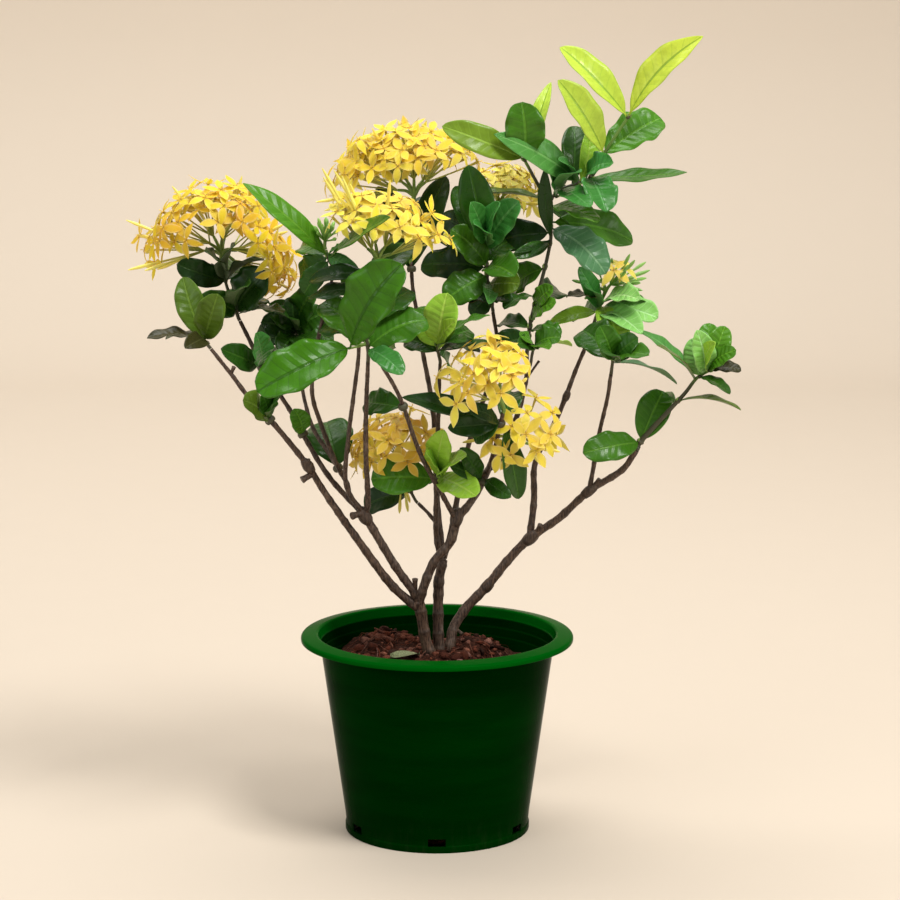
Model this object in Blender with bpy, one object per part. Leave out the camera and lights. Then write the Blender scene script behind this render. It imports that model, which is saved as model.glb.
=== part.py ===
"""A yellow-flowered ixora in its round green nursery pot, about 0.59 m tall.

Units are metres, +Z is up and the pot's underside stands on Z = 0 with its axis on the origin.
The pot is a turned shell, the soil fills it, one woody rootstock carries every branch, and each
leafy shoot and each flower head is a body of its own that is seated on the end of its branch.
"""

import math
import random
from collections import namedtuple

import bpy
from mathutils import Matrix, Vector

MM = 0.001
SEAT = 0.35 * MM

# Pot, in millimetres
POT_HEIGHT = 147.0
RIM_RADIUS = 101.5
MOUTH_RADIUS = 88.6
SHOULDER_RADIUS = 87.2
BASE_RADIUS = 69.2
WALL = 1.7
FLOOR = 3.5
SKIRT = 6.0
POT_SIDES = 32
DRAIN_COUNT = 6
DRAIN_WIDTH = 13.0
DRAIN_HEIGHT = 6.0

# Soil, in millimetres
SOIL_LOW = 119.0
SOIL_SIDES = 18
SOIL_RINGS = (26.0, 39.0, 52.0, 66.0)
SOIL_AT_CROWN = 127.5
MOUNDS = (
    (-42.0, 45.0, 34.0, 20.0), (30.0, 40.0, 24.0, 16.0), (-8.0, -38.0, 44.0, 7.0), (2.0, 16.0, 26.0, 9.0),
)
CHIP_COUNT = 9

# Rootstock that the trunks rise from, in millimetres
CROWN = (0.7, 18.0)
CROWN_RADIUS = 16.5
CROWN_TOP = 131.0
CROWN_BOTTOM = 104.0

# The front view that the plant was read in: an eye 2 m off, looking slightly down
EYE = Vector((0.0096, -2.0, 0.6254))
EYE_TILT = 0.1675
EYE_SCALE = 2750.8
VIEW_CENTRE = 450.0

# Leaf and floret sizes, in millimetres
LEAF_THICKNESS = 1.3
PETIOLE_RADIUS = 0.9
STALKED = 7.0 * MM
LEAF_ROOT = 1.0
LEAF_STATIONS = ((0.13, 0.14), (0.42, 0.94), (0.74, 0.86))
SHORT_STATIONS = ((0.36, 0.84), (0.72, 0.94))
SHORT_LEAF = 44.0 * MM
LEAF_FOLD = -0.08
PETAL_LENGTH = 12.5
PETAL_NOTCH = 3.7
FLORET_CROWN = 0.5
FLORET_THROAT = 0.8
CORE_SHARE = 0.16
BUD_CORE = 3.6
TUBE_FOOT = 0.72
TUBE_FOOT_RADIUS = 0.9
PETAL_DROPS = (-0.7, -2.0)
THROAT_DEPTH = 1.5
STALK_END = 1.8 * MM
STALK_BEND = 3.0 * MM
SPEAR_SHAPE = ((0.68, 0.7), (0.86, 1.3), (1.0, 0.35))
DOME = 0.85
BEHIND_SHIFT = 6.0
BEHIND_LEAST = 12.0 * MM
TWIG_END = 1.1 * MM
TWIG_START = 1.5 * MM
TWIG_BEND = 2.5 * MM
COLLAR_HALF = 2.2
COLLAR_WALL = 1.3 * MM
COLLAR_GAP = 2.2 * SEAT
COLLAR_SINK = 0.7 * MM
LEAF_FACING = (0.0, -0.75, 0.65)

Branch = namedtuple("Branch", "start end points")
Leaf = namedtuple("Leaf", "root tip width roll arch")
Head = namedtuple("Head", "seat core radius florets behind")

# Woody branches: radius at start and end in mm, then (column, row, depth in mm) down the front view
BRANCHES = {
    "trunk_a": Branch(6.0, 5.2, (
        (434, 661, 12), (427, 645, 11), (423, 625, 9), (419, 600, 6))),
    "a_left": Branch(4.6, 1.7, (
        (420, 608, 7), (413, 604, 6), (389, 582, 2), (350, 529, -6), (323, 490, -16), (308, 466, -22),
        (280, 431, -28), (270, 420, -29), (250, 399, -30), (231, 374, -30), (211, 349, -30))),
    "a_middle": Branch(4.2, 4.0, (
        (419, 602, 6), (413, 591, 4), (396, 567, 0), (365, 516, -8))),
    "a_head_left": Branch(2.8, 1.9, (
        (365, 516, -8), (330, 478, -4), (305, 438, 2), (291, 412, 6), (282, 398, 8), (262, 367, 12),
        (249, 339, 16), (240, 321, 18))),
    "a_dark": Branch(2.7, 1.7, (
        (365, 516, -8), (351, 500, 2), (346, 481, 10), (330, 455, 20), (314, 430, 28), (305, 402, 36),
        (300, 374, 42))),
    "a_bud": Branch(2.5, 1.6, (
        (346, 481, 10), (335, 461, -2), (321, 424, -8), (312, 390, -14), (318, 340, -24),
        (330, 290, -28), (333, 272, -28))),
    "a_front_left": Branch(2.5, 1.8, (
        (365, 516, -8), (346, 484, -22), (349, 433, -38), (353, 400, -48), (358, 362, -57))),
    "a_front_middle": Branch(3.0, 1.9, (
        (365, 516, -8), (368, 500, -14), (366, 458, -30), (366, 413, -42), (368, 362, -60))),
    "a_right": Branch(4.6, 4.2, (
        (419, 604, 6), (424, 586, 3), (434, 562, 1), (451, 541, -2), (457, 518, -4))),
    "a_front_right": Branch(2.6, 1.8, (
        (456, 520, -4), (443, 496, -14), (420, 453, -30), (400, 398, -50), (380, 362, -66))),
    "a_tall": Branch(3.9, 2.0, (
        (456, 520, -4), (470, 503, -4), (480, 487, -3), (488, 470, 0), (503, 447, 16), (517, 416, 22),
        (526, 380, 20), (527, 354, 17))),
    "a_head_front": Branch(2.6, 1.9, (
        (487, 473, -1), (493, 455, -18), (497, 439, -27), (503, 413, -35))),
    "a_side": Branch(1.7, 1.5, (
        (518, 412, 22), (524, 385, 8), (530, 366, -2))),
    "a_head_low": Branch(1.9, 1.6, (
        (488, 471, 0), (500, 462, -1), (509, 452, -4))),
    "trunk_b": Branch(5.6, 4.8, (
        (440, 660, 20), (439, 645, 20), (438, 620, 20), (439, 582, 18), (443, 560, 17))),
    "b_shoot": Branch(3.2, 1.7, (
        (442, 564, 17), (437, 540, 14), (436, 519, 9), (437, 480, 0), (438, 430, -12), (439, 395, -20),
        (440, 364, -25))),
    "b_head_top": Branch(3.4, 1.8, (
        (443, 562, 17), (441, 540, 19), (437, 500, 22), (436, 450, 26), (434, 420, 29), (430, 390, 32),
        (423, 353, 36), (418, 318, 39), (413, 290, 41), (411, 262, 42))),
    "b_right": Branch(3.2, 1.8, (
        (444, 558, 17), (452, 528, 24), (457, 500, 30), (470, 440, 32), (490, 380, 30), (497, 345, 27),
        (493, 312, 24))),
    "b_low": Branch(2.0, 1.6, (
        (437, 524, 20), (428, 513, 22), (418, 503, 23))),
    "trunk_c": Branch(5.4, 3.0, (
        (447, 657, 24), (450, 645, 25), (454, 627, 29), (467, 607, 33), (487, 586, 34), (509, 559, 34),
        (530, 538, 32), (559, 518, 28), (589, 491, 22), (622, 470, 16), (636, 450, 12))),
    "c_back": Branch(3.6, 1.8, (
        (530, 536, 32), (534, 500, 40), (534, 470, 46), (540, 450, 50), (556, 420, 54), (566, 396, 56),
        (575, 372, 58), (585, 348, 58), (593, 326, 57))),
    "c_front": Branch(2.4, 1.8, (
        (589, 491, 22), (593, 470, 18), (600, 430, 8), (607, 400, 0), (611, 374, -6))),
}

# Cut stubs and swollen nodes of the woody branches: start, end and radius in mm
STUBS = (
    ((415, 598, 5), (415, 579, 2), 1.9),
    ((310, 468, -22), (307, 460, -24), 2.0),
    ((314, 473, -20), (302, 480, -24), 2.3),
    ((590, 490, 22), (600, 480, 18), 2.0),
    ((534, 537, 32), (541, 525, 28), 2.0),
    ((231, 374, -30), (234, 367, -32), 1.3),
    ((366, 512, -8), (352, 516, -16), 2.4),
    ((525, 381, 7), (539, 361, 14), 0.9),
    ((454, 627, 31), (462, 634, 24), 1.3),
)
KNUCKLES = (
    ("trunk_b", 3, 1.2), ("trunk_c", 4, 1.18), ("trunk_c", 6, 1.45), ("trunk_c", 8, 1.5), ("a_left", 5, 1.5),
    ("a_middle", 3, 1.35), ("a_right", 4, 1.3), ("c_back", 5, 1.35),
)

# Leafy shoots: the woody branch they cap or clasp, the green twig, and the leaves.
# A clasp names the stretch of the branch and how far along it the collar sits.
Shoot = namedtuple("Shoot", "branch clasp twig leaves")
SHOOTS = {
    "left_shoot": Shoot("a_left", None, ((204, 340, -30),), (
        Leaf((203, 336, -30), (183, 277, -22), 21, 8, 5),
        Leaf((205, 334, -30), (222, 294, -48), 22, -12, 4),
        Leaf((201, 338, -30), (147, 338, -36), 17, 74, 5),
        Leaf((202, 339, -30), (166, 339, 12), 17, 66, 5),
        Leaf((202, 341, -30), (185, 348, -70), 15, 20, 5),
        Leaf((206, 337, -30), (214, 310, 14), 18, 10, 5),
    )),
    "left_head_leaves": Shoot("a_head_left", None, ((236, 311, 19), (228, 290, 21), (223, 272, 22)), (
        Leaf((236, 312, 19), (197, 301, -8), 20, 24, 5),
        Leaf((237, 310, 19), (264, 274, 2), 27, -14, 5),
        Leaf((239, 314, 19), (284, 313, 0), 19, 46, 4),
        Leaf((236, 311, 19), (222, 296, 66), 22, 10, 5),
        Leaf((226, 281, 22), (263, 260, 2), 18, 52, 4),
        Leaf((224, 282, 22), (177, 264, 2), 19, 34, 4),
        Leaf((225, 280, 22), (206, 252, -16), 20, 0, 4),
        Leaf((226, 281, 22), (240, 262, 64), 22, -10, 4),
    )),
    "left_pair": Shoot("a_head_left", (5, 0.0), (), (
        Leaf((258, 365, 10), (221, 349, -22), 19, 34, 4),
        Leaf((262, 361, 8), (256, 333, -16), 19, -6, 4),
        Leaf((266, 362, 14), (290, 352, 50), 20, 20, 4),
    )),
    "left_curled_leaf": Shoot("a_head_left", (2, 0.15), (), (
        Leaf((302, 434, 0), (297, 410, -14), 12, 0, 3),
    )),
    "left_low_leaf": Shoot("a_left", (7, 0.0), (), (
        Leaf((267, 418, -33), (247, 400, -66), 17, 10, 4),
        Leaf((272, 414, -32), (279, 400, -62), 14, -20, 3),
    )),
    "dark_leaves": Shoot("a_dark", None, ((298, 350, 46), (296, 331, 48)), (
        Leaf((296, 333, 48), (261, 322, 34), 22, 20, 5),
        Leaf((296, 330, 48), (270, 303, 40), 20, 10, 5),
        Leaf((297, 330, 48), (292, 296, 40), 22, 0, 5),
        Leaf((298, 333, 48), (326, 312, 38), 24, -10, 5),
        Leaf((299, 336, 47), (334, 340, 38), 20, -18, 5),
        Leaf((298, 345, 46), (312, 330, 96), 24, -20, 5),
    )),
    "bud_shoot": Shoot("a_bud", None, ((329, 260, -27), (326, 250, -26)), (
        Leaf((328, 257, -26), (243, 183, -38), 20, -8, 6),
        Leaf((329, 258, -26), (387, 218, -84), 13, 10, 5),
        Leaf((327, 254, -26), (361, 276, -44), 13, -40, 3),
        Leaf((327, 256, -26), (300, 248, 14), 18, 20, 5),
        Leaf((329, 257, -27), (300, 276, -2), 20, 30, 4),
    )),
    "centre_leaves": Shoot("a_front_middle", None, (
        (368, 350, -63), (366, 335, -64), (366, 300, -60), (372, 268, -58)), (
        Leaf((362, 347, -64), (257, 392, -88), 33, 6, 9),
        Leaf((362, 343, -66), (404, 265, -98), 38, 0, 8),
        Leaf((371, 345, -62), (425, 324, -54), 27, 16, 6),
        Leaf((372, 349, -64), (403, 374, -86), 17, 0, 5),
        Leaf((361, 340, -60), (323, 300, -40), 22, 0, 5),
        Leaf((364, 290, -58), (312, 298, -44), 18, 36, 4),
        Leaf((368, 274, -58), (309, 281, -38), 16, 30, 4),
        Leaf((367, 292, -59), (401, 247, -20), 18, 0, 4),
        Leaf((370, 343, -60), (392, 330, 0), 24, -20, 5),
    )),
    "lime_shoot": Shoot("b_shoot", None, ((438, 352, -26), (437, 345, -27)), (
        Leaf((436, 346, -27), (447, 293, -42), 25, 4, 6),
        Leaf((439, 346, -27), (490, 315, -30), 18, 46, 5),
        Leaf((436, 347, -27), (417, 319, -22), 14, 30, 3),
        Leaf((440, 350, -26), (466, 341, -62), 14, 20, 4),
        Leaf((439, 351, -26), (497, 346, 0), 17, 30, 4),
        Leaf((440, 353, -26), (447, 372, -2), 16, -10, 4),
        Leaf((438, 348, -26), (470, 330, 4), 20, 0, 4),
    )),
    "upper_shoot": Shoot("b_right", None, ((490, 296, 22), (487, 275, 21), (486, 258, 21), (486, 238, 21)), (
        Leaf((486, 245, 21), (471, 202, -4), 19, 6, 4),
        Leaf((486, 250, 21), (517, 203, 3), 21, -8, 4),
        Leaf((484, 266, 21), (451, 231, 8), 21, 8, 5),
        Leaf((484, 268, 21), (422, 265, 34), 23, 12, 5),
        Leaf((484, 276, 20), (443, 296, 4), 22, 12, 5),
        Leaf((489, 268, 21), (514, 276, -12), 19, -6, 5),
        Leaf((489, 286, 21), (516, 285, 2), 20, -16, 5),
        Leaf((487, 284, 21), (489, 304, -6), 12, 20, 3),
        Leaf((489, 305, 23), (458, 302, 10), 14, 54, 3),
        Leaf((486, 247, 21), (470, 165, 2), 24, 14, 6),
        Leaf((482, 243, 22), (441, 216, 30), 20, 24, 4),
        Leaf((485, 255, 22), (452, 248, 66), 22, 16, 5),
    )),
    "tall_shoot": Shoot("a_tall", None, (
        (530, 325, 18), (536, 300, 20), (543, 275, 22), (548, 254, 24), (551, 235, 25), (550, 205, 26),
        (560, 190, 27), (590, 178, 25), (603, 155, 22), (628, 117, 18)), (
        Leaf((629, 116, 18), (703, 36, 2), 25, 6, 7),
        Leaf((627, 117, 18), (560, 47, 30), 25, -6, 7),
        Leaf((600, 152, 22), (558, 80, -2), 24, -4, 7),
        Leaf((604, 156, 22), (661, 118, 46), 24, 10, 6),
        Leaf((594, 178, 25), (687, 172, 6), 22, 58, 7),
        Leaf((592, 180, 25), (604, 212, -8), 24, 10, 6),
        Leaf((578, 182, 26), (494, 134, -14), 24, 16, 8),
        Leaf((572, 184, 26), (574, 126, 58), 20, 0, 6),
        Leaf((580, 182, 26), (590, 130, 34), 15, -30, 5),
        Leaf((558, 197, 26), (552, 167, 6), 14, 0, 3),
        Leaf((552, 206, 26), (598, 222, -4), 21, 20, 5),
        Leaf((552, 228, 25), (606, 274, 6), 29, 4, 7),
        Leaf((553, 222, 25), (633, 241, 52), 27, -10, 6),
        Leaf((549, 200, 26), (469, 195, 24), 19, 76, 4),
        Leaf((549, 233, 25), (492, 243, 46), 21, 18, 5),
        Leaf((549, 245, 24), (512, 257, 2), 11, 40, 4),
        Leaf((544, 268, 22), (512, 289, 44), 24, 10, 5),
        Leaf((538, 297, 20), (504, 309, 4), 15, 66, 4),
        Leaf((536, 306, 20), (553, 287, 2), 14, -20, 3),
        Leaf((530, 328, 18), (499, 324, 38), 17, 40, 4),
        Leaf((538, 300, 20), (560, 292, 70), 22, -10, 5),
    )),
    "tall_shoot_side": Shoot(None, None, ((551, 206, 26), (541, 190, 18), (524, 159, 4)), (
        Leaf((524, 160, 4), (442, 126, -10), 22, 18, 8),
        Leaf((525, 158, 4), (522, 102, -10), 29, 0, 6),
        Leaf((527, 161, 5), (551, 82, 22), 12, 10, 5),
    )),
    "side_shoot": Shoot("a_side", None, ((532, 355, -4), (534, 347, -5)), (
        Leaf((534, 347, -5), (561, 337, -16), 19, 0, 5),
        Leaf((535, 346, -5), (572, 346, 4), 15, 66, 3),
        Leaf((534, 349, -5), (549, 349, -34), 14, 10, 3),
        Leaf((533, 349, -5), (517, 344, -30), 13, 20, 3),
    )),
    "front_head_leaves": Shoot("a_head_front", (2, 0.6), (), (
        Leaf((496, 424, -35), (448, 428, -50), 16, 30, 3),
        Leaf((505, 421, -31), (514, 392, -2), 18, 0, 3),
        Leaf((496, 421, -34), (402, 399, -33), 18, 30, 5),
        Leaf((497, 423, -38), (466, 409, -66), 14, 20, 3),
    )),
    "fork_leaves": Shoot("a_tall", (2, 0.3), (), (
        Leaf((492, 474, -9), (521, 496, -30), 19, -34, 4),
        Leaf((478, 474, -10), (450, 466, -26), 15, 10, 3),
        Leaf((479, 471, -9), (460, 448, -20), 15, 20, 3),
    )),
    "low_leaves": Shoot("b_shoot", (3, 0.05), (), (
        Leaf((440, 474, -16), (447, 430, -38), 18, 4, 4),
        Leaf((441, 478, -9), (476, 495, -40), 19, 0, 4),
        Leaf((433, 480, 5), (371, 479, -1), 29, 6, 5),
    )),
    "low_head_leaves": Shoot("b_low", None, ((410, 490, 25), (403, 475, 28)), (
        Leaf((411, 492, 25), (369, 508, 40), 19, 10, 4),
        Leaf((408, 487, 26), (430, 476, 72), 20, -10, 4),
    )),
    "round_leaf": Shoot("a_dark", (2, 0.5), (), (
        Leaf((341, 469, 26), (338, 421, 60), 29, 0, 5),
    )),
    "stem_leaf": Shoot("a_front_right", (2, 0.85), (), (
        Leaf((402, 408, -42), (370, 402, -12), 20, 14, 4),
    )),
    "right_shoot": Shoot("trunk_c", None, (
        (640, 442, 11), (676, 403, 4), (686, 392, 2), (697, 378, 0), (710, 370, -2)), (
        Leaf((641, 439, 11), (672, 395, 36), 23, 6, 6),
        Leaf((637, 442, 10), (583, 453, -12), 23, 12, 6),
        Leaf((678, 401, 4), (741, 410, -14), 18, 46, 5),
        Leaf((676, 402, 5), (660, 385, 50), 20, 10, 5),
        Leaf((700, 376, 0), (695, 336, -6), 16, 26, 4),
        Leaf((706, 372, -1), (709, 323, 4), 18, 0, 5),
        Leaf((710, 371, -2), (725, 326, -6), 18, -12, 5),
        Leaf((711, 371, -2), (741, 371, -14), 12, 10, 3),
        Leaf((695, 378, 0), (639, 330, 18), 16, 66, 5),
        Leaf((694, 380, 0), (657, 345, -34), 16, 60, 4),
        Leaf((700, 377, 0), (730, 394, -26), 12, 20, 3),
        Leaf((705, 374, -1), (712, 350, 44), 18, 0, 4),
    )),
    "right_low_shoot": Shoot("c_front", None, ((613, 359, -8),), (
        Leaf((612, 360, -8), (584, 329, 16), 25, 6, 5),
        Leaf((614, 360, -8), (649, 355, -32), 19, 6, 5),
        Leaf((614, 363, -8), (677, 384, 4), 17, 50, 5),
        Leaf((613, 361, -8), (602, 352, -46), 17, 10, 4),
    )),
    "right_high_shoot": Shoot("c_back", None, ((597, 314, 57), (602, 300, 56)), (
        Leaf((598, 309, 57), (579, 267, 36), 15, 8, 4),
        Leaf((600, 302, 56), (568, 296, 34), 14, 66, 3),
        Leaf((602, 304, 56), (647, 302, 40), 16, 46, 4),
        Leaf((599, 311, 57), (657, 318, 28), 22, 16, 5),
        Leaf((597, 314, 57), (550, 325, 40), 17, 22, 5),
        Leaf((599, 310, 57), (580, 318, 96), 20, 20, 5),
    )),
}

# Flower heads: what each is seated on, core, radius in mm, florets seen in front, and every how many of
# them one is repeated behind
HEADS = {
    "head_left": Head("left_head_leaves", (221, 251, 24), 50, (
        (145, 250), (155, 263), (155, 228), (163, 212), (178, 222), (186, 240), (180, 200), (190, 190),
        (205, 198), (208, 184), (221, 190), (224, 206), (236, 187), (240, 204), (258, 206), (258, 243),
        (268, 258), (288, 248), (284, 268), (288, 288)), 3),
    "head_top": Head("b_head_top", (414, 192, 44), 50, (
        (327, 182), (338, 170), (350, 160), (366, 152), (380, 140), (396, 132), (414, 138), (431, 132),
        (447, 143), (460, 153), (385, 158), (402, 150), (418, 158), (436, 150), (372, 168), (398, 166),
        (352, 176)), 2),
    "head_centre": Head("centre_leaves", (378, 258, -48), 42, (
        (333, 218), (345, 198), (356, 210), (366, 192), (376, 206), (392, 209), (408, 210), (400, 227),
        (420, 220), (436, 232), (450, 238)), 3),
    "head_small": Head("upper_shoot", (500, 204, 58), 26, (
        (484, 172), (497, 165), (510, 172), (524, 181), (538, 191), (500, 181), (515, 192)), 3),
    "head_front": Head("a_head_front", (500, 398, -43), 40, (
        (501, 342), (471, 350), (482, 363), (507, 361), (521, 355), (456, 358), (461, 381), (487, 383),
        (512, 375), (468, 393), (501, 393), (456, 404), (438, 377)), 6),
    "head_low": Head("a_head_low", (518, 441, -7), 34, (
        (479, 419), (536, 398), (527, 413), (552, 413), (526, 434), (550, 434), (537, 451), (511, 455)), 5),
    "head_behind": Head("low_head_leaves", (400, 464, 24), 36, (
        (378, 419), (395, 428), (374, 448), (400, 444), (356, 438), (358, 456), (386, 456), (418, 450),
        (426, 433), (411, 408)), 5),
    "head_right": Head("right_high_shoot", (606, 290, 54), 22, (
        (636, 264), (622, 252), (604, 262)), 2),
}

# Clusters of green buds: the shoot or head they belong to, foot, and bud tips
BUDS = {
    "bud_cluster": ("bud_shoot", (325, 241, -25), (
        (314, 226, -34), (318, 218, -30), (322, 224, -38), (326, 217, -24), (330, 223, -34), (334, 226, -28),
        (339, 230, -32), (310, 230, -26), (320, 222, -10))),
}
SPEARS = {
    "head_centre": ((322, 168, -62), (334, 170, -62), (342, 176, -74), (390, 180, -66), (350, 184, -50)),
    "head_left": ((126, 220, 12), (128, 270, 4), (172, 186, 20), (242, 176, 20), (284, 224, 8)),
    "head_top": ((316, 202, 30), (398, 120, 40), (372, 128, 26), (352, 142, 36)),
    "head_right": ((572, 280, 48), (596, 262, 60), (640, 272, 62)),
    "head_low": ((560, 452, -10), (545, 464, -8), (458, 434, -8)),
    "head_front": ((527, 378, -44), (446, 366, -50)),
    "head_behind": ((408, 512, 14),),
    "head_small": ((472, 172, 20), (540, 204, 44)),
}


def ring_point(centre_x, centre_y, radius, share):
    """A point on a level circle, a share of the way round it."""
    angle = 2.0 * math.pi * share
    return centre_x + radius * math.cos(angle), centre_y + radius * math.sin(angle)


def clear_scene():
    for obj in list(bpy.data.objects):
        bpy.data.objects.remove(obj, do_unlink=True)


def seen(point):
    """The place of a (column, row, depth) reading: along the eye's line of sight, at that depth in mm."""
    column, row, depth = point
    reach = depth * MM - EYE.y
    fall = EYE_TILT + math.atan((row - VIEW_CENTRE) / EYE_SCALE)
    height = EYE.z - reach * math.tan(fall)
    along = reach * math.cos(EYE_TILT) + (EYE.z - height) * math.sin(EYE_TILT)
    return Vector((EYE.x + (column - VIEW_CENTRE) * along / EYE_SCALE, depth * MM, height))


def new_solid(name, points, faces):
    mesh = bpy.data.meshes.new(name)
    mesh.from_pydata([tuple(p) for p in points], [], faces)
    mesh.validate()
    solid = bpy.data.objects.new(name, mesh)
    bpy.context.scene.collection.objects.link(solid)
    return solid


def paint(solid, colour, roughness):
    material = bpy.data.materials.new(solid.name)
    material.use_nodes = True
    shader = material.node_tree.nodes["Principled BSDF"]
    shader.inputs["Base Color"].default_value = (*colour, 1.0)
    shader.inputs["Roughness"].default_value = roughness
    shader.inputs["Metallic"].default_value = 0.0
    solid.data.materials.clear()
    solid.data.materials.append(material)


def turned_frames(path):
    """Two cross directions for each point of a path, carried along it without twisting."""
    tangents = []
    for i, point in enumerate(path):
        before = path[max(i - 1, 0)]
        after = path[min(i + 1, len(path) - 1)]
        tangents.append((after - before).normalized())
    side = tangents[0].orthogonal().normalized()
    frames = []
    for tangent in tangents:
        side = (side - tangent * side.dot(tangent)).normalized()
        frames.append((side, tangent.cross(side)))
    return frames


def tube(name, path, radii, sides):
    """A capped tube along a path, with a radius for each of its points."""
    points = []
    for centre, radius, (side, up) in zip(path, radii, turned_frames(path)):
        for k in range(sides):
            angle = 2.0 * math.pi * k / sides
            points.append(centre + (side * math.cos(angle) + up * math.sin(angle)) * radius)
    faces = [tuple(reversed(range(sides)))]
    for ring in range(len(path) - 1):
        for k in range(sides):
            a, b = ring * sides + k, ring * sides + (k + 1) % sides
            faces.append((a, b, b + sides, a + sides))
    last = (len(path) - 1) * sides
    faces.append(tuple(range(last, last + sides)))
    return new_solid(name, points, faces)


def turned(name, profile, sides):
    """A solid of revolution about Z whose profile, in mm, starts and ends on the axis."""
    points = [Vector((0.0, 0.0, profile[0][1] * MM))]
    rings = profile[1:-1]
    for radius, height in rings:
        for k in range(sides):
            angle = 2.0 * math.pi * k / sides
            points.append(Vector((radius * math.cos(angle), radius * math.sin(angle), height)) * MM)
    points.append(Vector((0.0, 0.0, profile[-1][1] * MM)))
    top = len(points) - 1
    faces = []
    for k in range(sides):
        following = (k + 1) % sides
        faces.append((0, 1 + following, 1 + k))
        for ring in range(len(rings) - 1):
            a, b = 1 + ring * sides + k, 1 + ring * sides + following
            faces.append((a, b, b + sides, a + sides))
        last = 1 + (len(rings) - 1) * sides
        faces.append((last + k, last + following, top))
    return new_solid(name, points, faces)


def boolean(target, operands, operation, solver="EXACT"):
    """Joins or cuts target with every operand in one Boolean, applies it and removes the operands."""
    group = bpy.data.collections.new("operands")
    bpy.context.scene.collection.children.link(group)
    for operand in operands:
        bpy.context.scene.collection.objects.unlink(operand)
        group.objects.link(operand)
    modifier = target.modifiers.new("Boolean", "BOOLEAN")
    modifier.operation = operation
    modifier.operand_type = "COLLECTION"
    modifier.collection = group
    modifier.solver = solver
    evaluated = target.evaluated_get(bpy.context.evaluated_depsgraph_get())
    mesh = bpy.data.meshes.new_from_object(evaluated)
    target.modifiers.clear()
    target.data = mesh
    for operand in operands:
        bpy.data.objects.remove(operand, do_unlink=True)
    bpy.data.collections.remove(group)


def keep_main_body(solid):
    """Drops loose scraps and the shells of sealed hollows, which fills them."""
    mesh = solid.data
    parent = list(range(len(mesh.vertices)))

    def find(i):
        while parent[i] != i:
            parent[i] = parent[parent[i]]
            i = parent[i]
        return i

    for edge in mesh.edges:
        a, b = find(edge.vertices[0]), find(edge.vertices[1])
        if a != b:
            parent[a] = b
    sizes = {}
    for i in range(len(parent)):
        root = find(i)
        sizes[root] = sizes.get(root, 0) + 1
    main = max(sizes, key=sizes.get)
    if len(sizes) > 1:
        keep = [i for i in range(len(parent)) if find(i) == main]
        number = {old: new for new, old in enumerate(keep)}
        points = [mesh.vertices[i].co.copy() for i in keep]
        faces = [tuple(number[v] for v in p.vertices) for p in mesh.polygons if p.vertices[0] in number]
        fresh = bpy.data.meshes.new(solid.name)
        fresh.from_pydata([tuple(p) for p in points], [], faces)
        solid.data = fresh


def fuse(name, solids):
    """One body from overlapping solids: the first takes in all the others."""
    body = solids[0]
    body.name = name
    if len(solids) > 1:
        boolean(body, solids[1:], "UNION", "MANIFOLD")
    keep_main_body(body)
    body.data.name = name
    return body


def pot_profile():
    slope = (SHOULDER_RADIUS - BASE_RADIUS + 0.8) / (POT_HEIGHT - 13.0)

    def inside(height):
        return BASE_RADIUS - 0.8 + slope * height - WALL

    return (
        (0.0, 0.0), (BASE_RADIUS, 0.0), (BASE_RADIUS, 4.6), (BASE_RADIUS - 0.8, 5.4),
        (SHOULDER_RADIUS, POT_HEIGHT - 7.6), (SHOULDER_RADIUS + 1.8, POT_HEIGHT - 5.6),
        (RIM_RADIUS - 3.0, POT_HEIGHT - 6.2), (RIM_RADIUS - 1.6, POT_HEIGHT - 7.4),
        (RIM_RADIUS - 1.6, POT_HEIGHT - 4.2 - SKIRT), (RIM_RADIUS, POT_HEIGHT - 4.2 - SKIRT),
        (RIM_RADIUS, POT_HEIGHT - 4.2), (RIM_RADIUS - 1.4, POT_HEIGHT - 2.4),
        (MOUTH_RADIUS + 1.6, POT_HEIGHT), (MOUTH_RADIUS, POT_HEIGHT - 0.7),
        (inside(POT_HEIGHT - 7.0) + 0.9, POT_HEIGHT - 6.4), (inside(POT_HEIGHT - 7.0), POT_HEIGHT - 7.2),
        (inside(FLOOR), FLOOR), (0.0, FLOOR),
    )


def build_pot():
    pot = turned("pot", pot_profile(), POT_SIDES)
    drains = []
    for k in range(DRAIN_COUNT):
        turn = Matrix.Rotation(math.radians(-90.0 + 360.0 * k / DRAIN_COUNT), 4, "Z")
        half, low = DRAIN_WIDTH / 2.0, FLOOR + 1.2
        corners = [(x, y, z) for x in (BASE_RADIUS - 8.0, BASE_RADIUS + 4.0) for y in (-half, half)
                   for z in (low, low + DRAIN_HEIGHT)]
        points = [turn @ (Vector(c) * MM) for c in corners]
        faces = [(0, 1, 3, 2), (4, 6, 7, 5), (0, 4, 5, 1), (2, 3, 7, 6), (0, 2, 6, 4), (1, 5, 7, 3)]
        drains.append(new_solid("drain", points, faces))
    boolean(pot, drains, "DIFFERENCE")
    paint(pot, (0.0, 0.09, 0.01), 0.35)
    return pot


def soil_height(x, y, draw):
    """Height of the soil at a place in mm: low by the wall, heaped round the trunks and at the left."""
    height = SOIL_LOW
    for mound_x, mound_y, spread, rise in MOUNDS:
        distance = math.hypot(x - mound_x, y - mound_y) / spread
        height += rise * math.exp(-distance * distance)
    near = math.hypot(x - CROWN[0], y - CROWN[1]) < CROWN_RADIUS + 6.0
    limit = SOIL_AT_CROWN if near else POT_HEIGHT - 8.0
    return min(height, limit) + draw.uniform(-1.2, 1.2)


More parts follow.
